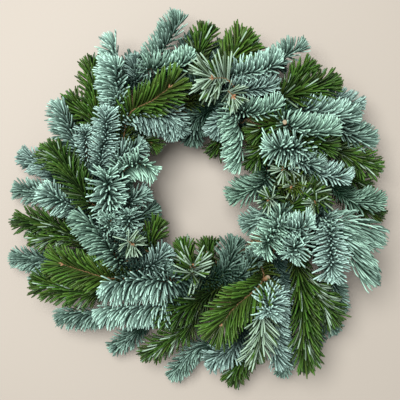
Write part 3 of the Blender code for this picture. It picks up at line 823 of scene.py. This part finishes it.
bud = Finish("buds", roughness=0.4)
scales = bud.cells(1100)
bud.bump(scales, RELIEF)
scale_edges = bud.ramp(scales, ((0.2, 0.0), (0.7, 1.0)))
bud_material = bud.colour(bud.mix(scale_edges, (0.150, 0.062, 0.030), (0.290, 0.150, 0.070)))
print("the bark's finish has", len(bark.tree.nodes), "nodes and the buds'", len(bud.tree.nodes))

# %% [markdown]
# One needle of each fir is modelled well, in a few bends, and copied about 26,000 times in all. It
# starts as a small circle that is squashed to the needle's section, and is extruded upwards ring by
# ring. Its UV map is written while it is still straight, and then it is bent along an arc. Hair
# would be quicker to grow, but real copies keep each spray a mesh that any program can show. With
# so many of them a needle has few faces, and smooth shading rounds them.

# %% Model a needle
NEEDLE_SIDES = 4
NEEDLE_LENGTH = {"noble": 0.0180, "nordmann": 0.0215}
# At its foot
NEEDLE_WIDTH = {"noble": 0.00160, "nordmann": 0.00170}
NEEDLE_THICKNESS = {"noble": 0.00110, "nordmann": 0.00070}
# How far along a needle its rings are, and how wide it is there in proportion
RINGS_AT = (0.0, 0.45, 0.86, 1.0)
RING_WIDTHS = {"noble": (0.8, 1.05, 0.95, 0.45), "nordmann": (0.8, 1.0, 0.95, 0.45)}
# In degrees. The needles of a swept shoot have the noble fir's last bend, all others one of the first
BENDS = {"noble": (26, 35, 44, 72), "nordmann": (9, 17, 25)}
ORDINARY_BENDS = 3
SWEPT_BEND = 3


def model_needle(fir, bend):
    """A needle that stands on the origin, points along +Z and bends towards +X, its upper side."""
    length, width, widths = NEEDLE_LENGTH[fir], NEEDLE_WIDTH[fir], RING_WIDTHS[fir]
    maker = bmesh.new()
    uv = maker.loops.layers.uv.new("UVMap")
    under = maker.faces.layers.float.new("under")
    section = Matrix.Diagonal((NEEDLE_THICKNESS[fir] / 2, width / 2, 1, 1))
    foot = bmesh.ops.create_circle(maker, segments=NEEDLE_SIDES, radius=1, matrix=section, cap_ends=True)
    end_face = foot["verts"][0].link_faces[0]
    for below, above, width_below, width_above in zip(RINGS_AT, RINGS_AT[1:], widths, widths[1:]):
        end_face = bmesh.ops.extrude_discrete_faces(maker, faces=[end_face])["faces"][0]
        ring = list(end_face.verts)
        share = width_above / width_below
        bmesh.ops.translate(maker, vec=(0, 0, (above - below) * length), verts=ring)
        bmesh.ops.scale(maker, vec=(share, share, 1), verts=ring)
    bmesh.ops.recalc_face_normals(maker, faces=maker.faces)
    for face in maker.faces:
        face.smooth = True
        face[under] = 1.0 if face.normal.x < 0 else 0.0
        for loop in face.loops:
            place = loop.vert.co
            loop[uv].uv = (0.5 + place.y / width, place.z / length)
    arc = length / bend
    for vert in maker.verts:
        turn = vert.co.z / arc
        reach = arc - vert.co.x
        vert.co = (arc - reach * math.cos(turn), vert.co.y, reach * math.sin(turn))
    return new_mesh(maker, f"{fir}_needle")


needle_models = {
    fir: [model_needle(fir, math.radians(bend)) for bend in bends] for fir, bends in BENDS.items()
}
for fir, models in needle_models.items():
    print("a", fir, "needle has", len(models[0].polygons), "faces and", len(models), "bends")

# %% [markdown]
# A look says how a shoot's needles are coloured and how they stand. It is read from the real wreath,
# as the layout is. Most differ only in tone, and a few in form:
#
# - a parted shoot keeps its top free, so the twig shows between two rows of needles;
# - a one-sided shoot, which hangs at the rim of the hole, has all its needles near its top, and the
#   shoot's roll turns them to one side;
# - the needles of a swept shoot stand out square and bend forwards, as if combed;
# - a Nordmann shoot shows the silver underside of some needles, and a shoot that stands with its
#   tip to the eye shows it of most.

# %% Describe the looks
# A look's tone is partly the needles' own and partly painted shade: the dark looks stand for shoots that lie
# low, in the shade of others
LOOKS = {
    # How light and how mint the needles are
    "noble": {
        "dark": (0.30, 0.6), "teal": (0.50, 0.5), "grey": (0.58, 0.15), "plain": (0.66, 0.35),
        "leaf": (0.45, 0.95), "sage": (0.52, 0.85), "blue": (0.66, 0.10), "mint": (0.82, 0.80),
        "pale": (0.85, 0.40), "white": (0.95, 0.15), "palest": (1.00, 0.50), "cream": (0.95, 0.80),
        "swept": (0.60, 0.65), "grey_side": (0.58, 0.15), "mint_side": (0.78, 0.80),
    },
    # How light and how olive the needles are
    "nordmann": {
        "dark": (0.42, 0.0), "mid": (0.60, 0.05), "bright": (0.82, 0.12), "edged": (0.55, 0.05),
        "olive": (0.62, 0.35), "silver": (0.85, 0.10), "under": (0.85, 0.05),
    },
}
PARTED_LOOKS = ("bright", "cream", "under")
ONE_SIDED_LOOKS = ("grey_side", "mint_side")
# The share of a Nordmann shoot's needles that show their silver underside
TURNED_OVER = {"under": 0.95, "silver": 0.55, "olive": 0.35, "edged": 0.35, "mid": 0.12, "dark": 0.10}
SELDOM_TURNED_OVER = 0.015
# Shoots with fewer needles than the rest, mostly those that stand upright and look like a star
FULLNESS = {"silver": 0.65, "olive": 0.7, "under": 0.8, "palest": 0.75}
# Degrees between a needle and its twig, first along the shoot and then round its tip
LEANS = {"noble": (60, 14), "nordmann": (52, 15), "swept": (84, 48)}
# The darkest and the lightest needle, as shares of their shoot's tone
UNEVENNESS = {"noble": (0.3, 1.5), "nordmann": (0.1, 1.8)}
print(sum(len(looks) for looks in LOOKS.values()), "looks")

# %% [markdown]
# Needles grow all round a shoot in a spiral, each a golden angle on from the one before. On an
# upright shoot they stay that way, and from above it is a star. On a lying shoot the lower needles
# curve up to the sides, so the angle round the twig is squeezed towards the shoot's upper side as
# far as the shoot lies flat.
#
# A needle starts out at its lean from the twig and then bends: a noble fir's to the upper side of
# its shoot, a Nordmann fir's upwards or, if it is turned over, downwards. Near the tip the needles
# lean forwards, and the last ones stand close behind the bud and spread as a fan. Small random
# differences make the shoot look grown. Their seed is the spray's own number, so the wreath is the
# same at each run.
#
# No needle may reach below the ground, into the straw, far above the frame or into the opening
# that the frame keeps free, so those are left out.

# %% Place the needles of a shoot
GOLDEN_ANGLE = math.radians(137.508)
NEEDLE_STEP = {"noble": 0.00033, "nordmann": 0.00048}
FAN_NEEDLES = {"noble": 40, "nordmann": 26}
FAN_LENGTH = 0.007
FAN_CROWDING = 0.7
TWIG_END_KEPT_FREE = 0.0005
# How far round a lying twig the needles stand from its top, in degrees
SPREAD = 108
ONE_SIDED_SPREAD = 72
PARTING = 28
PARTED_SPREAD = 74
PARTED_CROWDING = 0.8
# How soon a shoot counts as lying when it tips over
LYING_POWER = 1.5
# On top of a lying shoot the needles lie lower by so many degrees
LOWER_ON_TOP = 12
# What a needle bends towards, as shares of the shoot's upper side and of the way to its tip
SWEPT_UP = 0.3
SWEPT_FORWARDS = 0.7
NOBLE_BACKWARDS = 0.15
# Random differences: round the twig in radians, of the lean in degrees, and of the bend's direction
ANGLE_UNEVENNESS = 0.04
LEAN_UNEVENNESS = 2.5
STRAY = 0.045
LENGTH_RANGE = (0.9, 1.06)
SHORTER_AT_TIP = 0.2
# Behind its first place a shoot lies in the shade of its neighbours, where needles are small and painted
# darker as shade
SHADED_LENGTH = 0.010
SHADED_SIZE = 0.75
# Where the tip of a bent needle is, along its way and aside, as shares of its length
TIP_ALONG = 0.97
TIP_ASIDE = 0.25
LOWEST_NEEDLE = 0.0008
HIGHEST_NEEDLE = frame_high.z + 0.010
STRAIGHT_UP = Vector((0, 0, 1))
NEARLY_UPRIGHT = 0.05
to_ring = Vector((ring_middle.x, ring_middle.y, 0))
opening_low, opening_high = (
    Vector(corner) - to_ring for corner in frame["record"]["physics"]["openings"][0]["box_m"]
)


def shoot_axes(ahead, roll):
    """The upper side and the right-hand side of a shoot, turned to the left by its roll."""
    right = ahead.cross(STRAIGHT_UP)
    if right.length < NEARLY_UPRIGHT:
        right = ahead.cross(Vector((0, 1, 0)))
    right.normalize()
    above = right.cross(ahead)
    turn = math.radians(roll)
    return above * math.cos(turn) - right * math.sin(turn), right * math.cos(turn) + above * math.sin(turn)


def angle_round_twig(look, spiral, lying):
    """Where round the twig a needle stands, 0 on top, squeezed upwards as far as the shoot lies flat."""
    angle = math.remainder(spiral, 2 * math.pi)
    share = abs(angle) / math.pi
    if look in PARTED_LOOKS:
        squeezed = PARTING + PARTED_SPREAD * share ** PARTED_CROWDING
    elif look in ONE_SIDED_LOOKS:
        squeezed = ONE_SIDED_SPREAD * share
    else:
        squeezed = SPREAD * share
    settled = abs(angle) * (1 - lying) + math.radians(squeezed) * lying
    return math.copysign(settled, angle)


def needle_way(fir, look, ahead, outward, closing, on_top, chance):
    """The way a needle sets out from its twig."""
    lean_along, lean_at_tip = LEANS["swept" if look == "swept" else fir]
    lean = lean_along + (lean_at_tip - lean_along) * closing
    lean = math.radians(lean + chance.gauss(0, LEAN_UNEVENNESS) - LOWER_ON_TOP * on_top)
    return ahead * math.cos(lean) + outward * math.sin(lean)


def upper_side(fir, look, ahead, above, outward, lying, chance):
    """Where a needle's upper side faces, which is also where the needle bends to."""
    stray = Vector([chance.gauss(0, STRAY) for axis in range(3)])
    if look == "swept":
        return above * SWEPT_UP + ahead * SWEPT_FORWARDS + stray
    if fir == "noble":
        return above * lying + outward * (1 - lying) - ahead * NOBLE_BACKWARDS + stray
    if chance.random() < TURNED_OVER.get(look, SELDOM_TURNED_OVER):
        return stray - STRAIGHT_UP
    return stray + STRAIGHT_UP


def is_out_of_bounds(points):
    """True where a needle would reach the ground, too high, the straw or the opening."""
    for point in points:
        if not LOWEST_NEEDLE < point.z < HIGHEST_NEEDLE:
            return True
        across = math.hypot(point.x, point.y) - RING_RADIUS
        if math.hypot(across, point.z - STRAW_HEIGHT) < STRAW_RADIUS:
            return True
        if opening_low.x < point.x < opening_high.x and opening_low.y < point.y < opening_high.y:
            return True
    return False


def needle_places(fir, shoot, path, first_place, chance):
    """For each needle of a shoot: the matrix that places it, its bend, and how far it is in the open."""
    look, roll, length_share, *places = shoot
    points = [Vector(point) for point in path]
    lengths = [(after - before).length for before, after in zip(points[:-1], points[1:])]
    ends = list(itertools.accumulate(lengths, initial=0))
    total = ends[-1]
    start = min(zip(((point - first_place).length for point in points), ends))[1]
    fullness = FULLNESS.get(look, 1.0)
    in_rows = int(total / NEEDLE_STEP[fir] * fullness)
    spiral = chance.uniform(0, 2 * math.pi)
    placed = []
    for number in range(in_rows + int(FAN_NEEDLES[fir] * fullness)):
        # Its foot on the twig, and how the shoot lies there
        reach = min(total - TWIG_END_KEPT_FREE, total * (number + chance.random()) / in_rows)
        index = min(sum(end < reach for end in ends[1:]), len(lengths) - 1)
        ahead = (points[index + 1] - points[index]).normalized()
        foot = points[index] + ahead * (reach - ends[index])
        above, right = shoot_axes(ahead, roll)
        lying = math.sqrt(max(0, 1 - ahead.z ** 2)) ** LYING_POWER
        # The way it points and the way it bends
        spiral += GOLDEN_ANGLE
        angle = angle_round_twig(look, spiral, lying) + chance.gauss(0, ANGLE_UNEVENNESS)
        outward = above * math.cos(angle) + right * math.sin(angle)
        closing = max(0, 1 - (total - reach) / FAN_LENGTH)
        if number >= in_rows:
            closing = chance.random() ** FAN_CROWDING
        on_top = lying * max(0, math.cos(angle))
        way = needle_way(fir, look, ahead, outward, closing, on_top, chance)
        bend_to = upper_side(fir, look, ahead, above, outward, lying, chance)
        bend_to = (bend_to - way * bend_to.dot(way)).normalized()
        # Its size, which is less in the shade and near the tip
        in_the_open = min(1, max(0, 1 + (reach - start) / SHADED_LENGTH))
        size = length_share * chance.uniform(*LENGTH_RANGE) * (1 - SHORTER_AT_TIP * closing)
        size = size * (SHADED_SIZE + (1 - SHADED_SIZE) * in_the_open)
        length = NEEDLE_LENGTH[fir] * size
        tip = foot + (way * TIP_ALONG + bend_to * TIP_ASIDE) * length
        is_hidden = look == "under" and in_the_open < 1
        if is_hidden or is_out_of_bounds((foot + way * length * 0.5, tip)):
            continue
        # A longer needle is no wider
        axes = Matrix((bend_to, way.cross(bend_to), way)).transposed().to_4x4()
        place = Matrix.Translation(foot) @ axes @ Matrix.Diagonal((size, min(size, 1.0), size, 1))
        bend = SWEPT_BEND if look == "swept" else chance.randrange(ORDINARY_BENDS)
        placed.append((place, bend, in_the_open))
    return placed


# %% [markdown]
# A bud sits at the tip of each shoot, with a smaller one on each side. Two sprays were laid so that
# the cut end of a stem shows from above, and a short bare stub stands for it.

# %% Model the buds and the cut ends
BUD_LENGTH = {"noble": 0.0036, "nordmann": 0.0056}
BUD_SHAPE = Matrix.Diagonal((0.32, 0.32, 0.55, 1))
BUD_RISE = 0.4
BUD_SEGMENTS = 8
BUD_RINGS = 5
SIDE_BUD_SIZE = 0.8
SIDE_BUD_ASIDE = 0.9
SIDE_BUD_UPWARDS = 0.3
SIDE_BUD_SETBACK = 0.001
CUT_END_RADIUS = 0.0022
CUT_END_SIDES = 8
# For each spray with a cut end in sight, the stub's length and how far it leans away from its shoot
CUT_ENDS = {"nordmann_spray_14": (0.021, -0.15), "nordmann_spray_21": (0.010, 0.7)}
# A spray's materials in their order: needles, bark, buds
BARK = 1
BUDS = 2


def model_bud(length):
    """An egg-shaped bud that stands on the origin."""
    maker = bmesh.new()
    egg = Matrix.Translation((0, 0, length * BUD_RISE)) @ BUD_SHAPE
    bmesh.ops.create_uvsphere(maker, u_segments=BUD_SEGMENTS, v_segments=BUD_RINGS, radius=length, matrix=egg)
    for face in maker.faces:
        face.material_index = BUDS
        face.smooth = True
    return new_mesh(maker, "bud")


def bud_places(tip, way, roll):
    """A bud straight on from the tip of a twig and a smaller one on each side."""
    above, right = shoot_axes(way, roll)
    places = []
    for side, size in ((0, 1.0), (-1, SIDE_BUD_SIZE), (1, SIDE_BUD_SIZE)):
        heading = way + right * side * SIDE_BUD_ASIDE + above * SIDE_BUD_UPWARDS * abs(side)
        turn = STRAIGHT_UP.rotation_difference(heading.normalized()).to_matrix().to_4x4()
        foot = tip - way * SIDE_BUD_SETBACK * abs(side)
        places.append(Matrix.Translation(foot) @ turn @ Matrix.Scale(size, 4))
    return places


def cut_end_path(first, second, length, lean):
    """A bare stub that rises from a shoot's first place, from its cut end down to the twig."""
    tip = first + unit(unit(first - second) * lean + UP) * length
    return [tip, (tip + first) / 2, first]


bud_models = {fir: model_bud(length) for fir, length in BUD_LENGTH.items()}
print("a bud has", len(bud_models["noble"].polygons), "faces")

# %% [markdown]
# Now each spray is put together: its bark, its needles and its buds, in one mesh with three
# materials. A copy of the needle's model is added to the mesh for each needle, and its points are
# then moved to their place and given their tones. Separate objects would be simpler, but in one mesh
# a spray stays one piece, as it grew.

# %% Grow the sprays
FINE_STEP = 0.0035
TWIG_TIP_RADIUS = 0.0008
FORK_THICKNESS = 0.75
BARK_SIDES = 6
# The tones of a needle: its light under painted shade, its least light, and how unevenly its hue falls
SHADED_TONE = 0.15
DARKEST = 0.02
HUE_UNEVENNESS = 0.08


def needle_copies(fir, shoot, path, first_place, chance):
    """The needles of a shoot, each as a model, the matrix that places it, its light and its hue."""
    tone, hue_of_look = LOOKS[fir][shoot[0]]
    copies = []
    for place, bend, in_the_open in needle_places(fir, shoot, path, first_place, chance):
        # Painted shade: a needle in the shade of its neighbours is coloured darker, down to SHADED_TONE of
        # its tone
        in_its_light = SHADED_TONE + (1 - SHADED_TONE) * in_the_open
        light = min(1.0, max(DARKEST, tone * in_its_light * chance.uniform(*UNEVENNESS[fir])))
        hue = min(1.0, max(0.0, hue_of_look + chance.gauss(0, HUE_UNEVENNESS)))
        copies.append((needle_models[fir][bend], place, light, hue))
    return copies


def add_copies(maker, copies):
    """Adds each model and moves its points. The layers come last, since adding a mesh renews them."""
    first = len(maker.verts)
    for model, place, light, hue in copies:
        maker.from_mesh(model)
    light_layer = maker.verts.layers.float.new("light")
    hue_layer = maker.verts.layers.float.new("hue")
    points = maker.verts[:]
    for model, place, light, hue in copies:
        last = first + len(model.vertices)
        for point in points[first:last]:
            point.co = place @ point.co
            point[light_layer] = light
            point[hue_layer] = hue
        first = last


def grow_spray(name, fir, shoots, seat, twigs, chance):
    """One spray, which replaces the frame's solid of the same name."""
    maker = bmesh.new()
    if name in CUT_ENDS:
        stem_end, first, second, *others = twigs[0][0]
        stub = cut_end_path(first, second, *CUT_ENDS[name])
        add_tube(maker, stub, [CUT_END_RADIUS] * len(stub), CUT_END_SIDES, BARK, starts_cut=True)
    copies = []
    for number, (shoot, (through, heading, path, bare)) in enumerate(zip(shoots, twigs)):
        is_leader = number == 0
        fine = curve_through(through, heading, FINE_STEP)
        if is_leader:
            fine = curve_through(seat, unit(seat[1] - seat[0]), FINE_STEP)[:-1] + fine
        radii = np.linspace(STEM_RADIUS, TWIG_TIP_RADIUS, len(fine)) * (1 if is_leader else FORK_THICKNESS)
        add_tube(maker, fine, radii, BARK_SIDES, BARK, starts_cut=is_leader)
        copies += needle_copies(fir, shoot, fine, Vector(through[1]), chance)
        tip = Vector(fine[-1])
        way = (tip - Vector(fine[-2])).normalized()
        copies += [(bud_models[fir], place, 0.0, 0.0) for place in bud_places(tip, way, shoot[1])]
    add_copies(maker, copies)
    needle_material = noble_material if fir == "noble" else nordmann_material
    spray = finish_piece(maker, name + "_grown", (needle_material, bark_material, bud_material))
    return spray, len(copies)


grown = {"noble": 0, "nordmann": 0}
sprays = []
needles_in_all = 0
for number, ((fir, *shoots), (seat, twigs)) in enumerate(zip(SPRAYS, laid_sprays)):
    grown[fir] += 1
    node = f"{fir}_spray_{grown[fir]:02d}"
    spray, needle_count = grow_spray(node, fir, shoots, seat, twigs, random.Random(number))
    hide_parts(node)
    sprays.append(spray)
    needles_in_all += needle_count
triangles = sum(len(face.vertices) - 2 for piece in sprays for face in piece.data.polygons)
print(needles_in_all, "needles and buds in", triangles, "triangles on", grown)

# %% [markdown]
# The straw ring hides under the fir and shows only low on its sides. It is pressed straw, wound with
# a thin thread. Its body is a circle spun round the middle of the wreath. A plain turned ring would
# look like clay, so single straws lie on it as thin tubes, with the thread over them. Its foot is
# pressed flat, as the frame's is, so the wreath rests as it should.

# %% The straw finish
straw = Finish("straw", roughness=0.7)
fibre_map = straw.node("ShaderNodeMapping", {"Vector": straw.uv_map(), "Scale": (40, 90, 1)})
fibres = straw.noise(1.0, detail=4, vector=fibre_map.outputs["Vector"])
fibre_tone = straw.ramp(fibres, ((0.35, 0.0), (0.65, 1.0)))
straw.bump(fibres, 0.0008)
straw_material = straw.colour(straw.mix(fibre_tone, (0.144, 0.094, 0.040), (0.331, 0.245, 0.122)))

thread = Finish("thread", roughness=0.85)
thread_tone = thread.mix(thread.noise(900), (0.144, 0.108, 0.065), (0.324, 0.259, 0.166))
thread_material = thread.colour(thread_tone)
print("the straw's finish has", len(straw.tree.nodes), "nodes and the thread's", len(thread.tree.nodes))

# %% Build the straw ring
STRAW_STEPS = 144
STRAW_SECTION = 28
STRAW_COUNT = 260
STRAW_POINTS = 8
TUBE_SIDES = 5
STRAWS_SUNK = 0.0004
# Round the wreath and round the ring's section, in radians
STRAW_LENGTHS = (0.25, 0.7)
STRAW_SLANTS = (-0.25, 0.25)
STRAW_RADII = (0.0006, 0.0011)
STRAW_SEED = 7
THREAD_TURNS = 36
THREAD_POINTS = 25
THREAD_RADIUS = 0.0004
THREAD_SWAY = 0.02
THREAD_LIFT = 0.0001
THREAD = 1
FULL_TURN = 2 * math.pi


def turn_and_row(place):
    """The angle of a place round the wreath, and its angle round the straw."""
    turn = math.atan2(place.y, place.x)
    row = math.atan2(place.z - STRAW_HEIGHT, math.hypot(place.x, place.y) - RING_RADIUS)
    return turn, row


maker = bmesh.new()
section = Matrix.Translation((RING_RADIUS, 0, STRAW_HEIGHT)) @ Matrix.Rotation(math.pi / 2, 4, "X")
bmesh.ops.create_circle(maker, segments=STRAW_SECTION, radius=STRAW_RADIUS - STRAWS_SUNK, matrix=section)
bmesh.ops.spin(maker, geom=maker.verts[:] + maker.edges[:], axis=(0, 0, 1), cent=(0, 0, 0),
               angle=FULL_TURN, steps=STRAW_STEPS, use_merge=True)
bmesh.ops.recalc_face_normals(maker, faces=maker.faces)
uv = maker.loops.layers.uv.verify()
for face in maker.faces:
    face.smooth = True
    face_angles = turn_and_row(face.calc_center_median())
    for loop in face.loops:
        # A face at the seam keeps its own turn and row going on past a whole round
        angles = zip(turn_and_row(loop.vert.co), face_angles)
        loop[uv].uv = [(own + math.remainder(angle - own, FULL_TURN)) / FULL_TURN for angle, own in angles]

chance = random.Random(STRAW_SEED)
for number in range(STRAW_COUNT):
    turn = chance.uniform(0, FULL_TURN)
    row = chance.uniform(0, FULL_TURN)
    length = chance.uniform(*STRAW_LENGTHS)
    slant = chance.uniform(*STRAW_SLANTS)
    stalk = [ring_point(turn + length * t, row + slant * t, STRAW_RADIUS - STRAWS_SUNK)
             for t in np.linspace(0, 1, STRAW_POINTS)]
    add_tube(maker, stalk, [chance.uniform(*STRAW_RADII)] * len(stalk), TUBE_SIDES)
for number in range(THREAD_TURNS):
    bearing = FULL_TURN * (number + 0.5) / THREAD_TURNS
    loop_path = [ring_point(bearing + THREAD_SWAY * math.sin(row), row, STRAW_RADIUS + THREAD_LIFT)
                 for row in np.linspace(0, FULL_TURN, THREAD_POINTS)]
    add_tube(maker, loop_path, [THREAD_RADIUS] * len(loop_path), TUBE_SIDES, THREAD)
for vert in maker.verts:
    vert.co.z = max(vert.co.z, 0.0)
straw_piece = finish_piece(maker, "straw_blank", (straw_material, thread_material))
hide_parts("straw_ring")
print("straw ring with", STRAW_COUNT, "loose straws")

# %% [markdown]
# The binding wire is one soft iron wire in green lacquer. It runs round the straw, over the stems
# and on to the next turn, and the same path as the frame's wire is drawn here as a round tube.

# %% The binding wire
WIRE_SIDES = 8

lacquer = Finish("green_wire", roughness=0.35)
lacquer.shader.inputs["Metallic"].default_value = 0.5
wire_material = lacquer.colour(lacquer.mix(lacquer.noise(400), (0.018, 0.043, 0.014), (0.058, 0.101, 0.036)))

maker = bmesh.new()
wire_points = wire_path(taken_seats)
add_tube(maker, wire_points, [WIRE_RADIUS] * len(wire_points), WIRE_SIDES)
wire_piece = finish_piece(maker, "wound_wire", (wire_material,))
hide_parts("binding_wire")
print("wire drawn through", len(wire_points), "points")

# %% [markdown]
# The wreath lies on a plain pale floor under soft light: one large lamp high up on the left, as from
# a window, and an even pale sky that fills the shadows. A small hard lamp would throw a sharp shadow
# from each of the thousands of needles, which the eye would read as noise.

# %% Floor and light
FLOOR_SIZE = 6.0
FLOOR_COLOUR = (0.317, 0.282, 0.240, 1)
LAMP_PLACE = (-0.30, 0.30, 1.40)
LAMP_SIZE = 0.9
LAMP_WATTS = 43
SKY_COLOUR = (0.95, 0.98, 1.0, 1)
SKY_STRENGTH = 0.55

floor_finish = Finish("floor", roughness=0.6)
floor_finish.shader.inputs["Base Color"].default_value = FLOOR_COLOUR
maker = bmesh.new()
bmesh.ops.create_grid(maker, x_segments=1, y_segments=1, size=FLOOR_SIZE / 2)
floor_mesh = new_mesh(maker, "floor")
floor_mesh.materials.append(floor_finish.material)
floor = add_object("floor", floor_mesh)

lamp_data = bpy.data.lights.new("window", "AREA")
lamp_data.shape = "DISK"
lamp_data.size = LAMP_SIZE
lamp_data.energy = LAMP_WATTS
lamp = add_object("window", lamp_data)
lamp.location = LAMP_PLACE
lamp.rotation_mode = "QUATERNION"
lamp.rotation_quaternion = (-lamp.location).to_track_quat("-Z", "Y")

sky = bpy.data.worlds.new("sky")
sky.use_nodes = True
background = sky.node_tree.nodes["Background"]
background.inputs["Color"].default_value = SKY_COLOUR
background.inputs["Strength"].default_value = SKY_STRENGTH
bpy.context.scene.world = sky
bpy.context.scene.view_settings.view_transform = "Standard"
print("lamp of", LAMP_WATTS, "W and a sky of", SKY_STRENGTH)
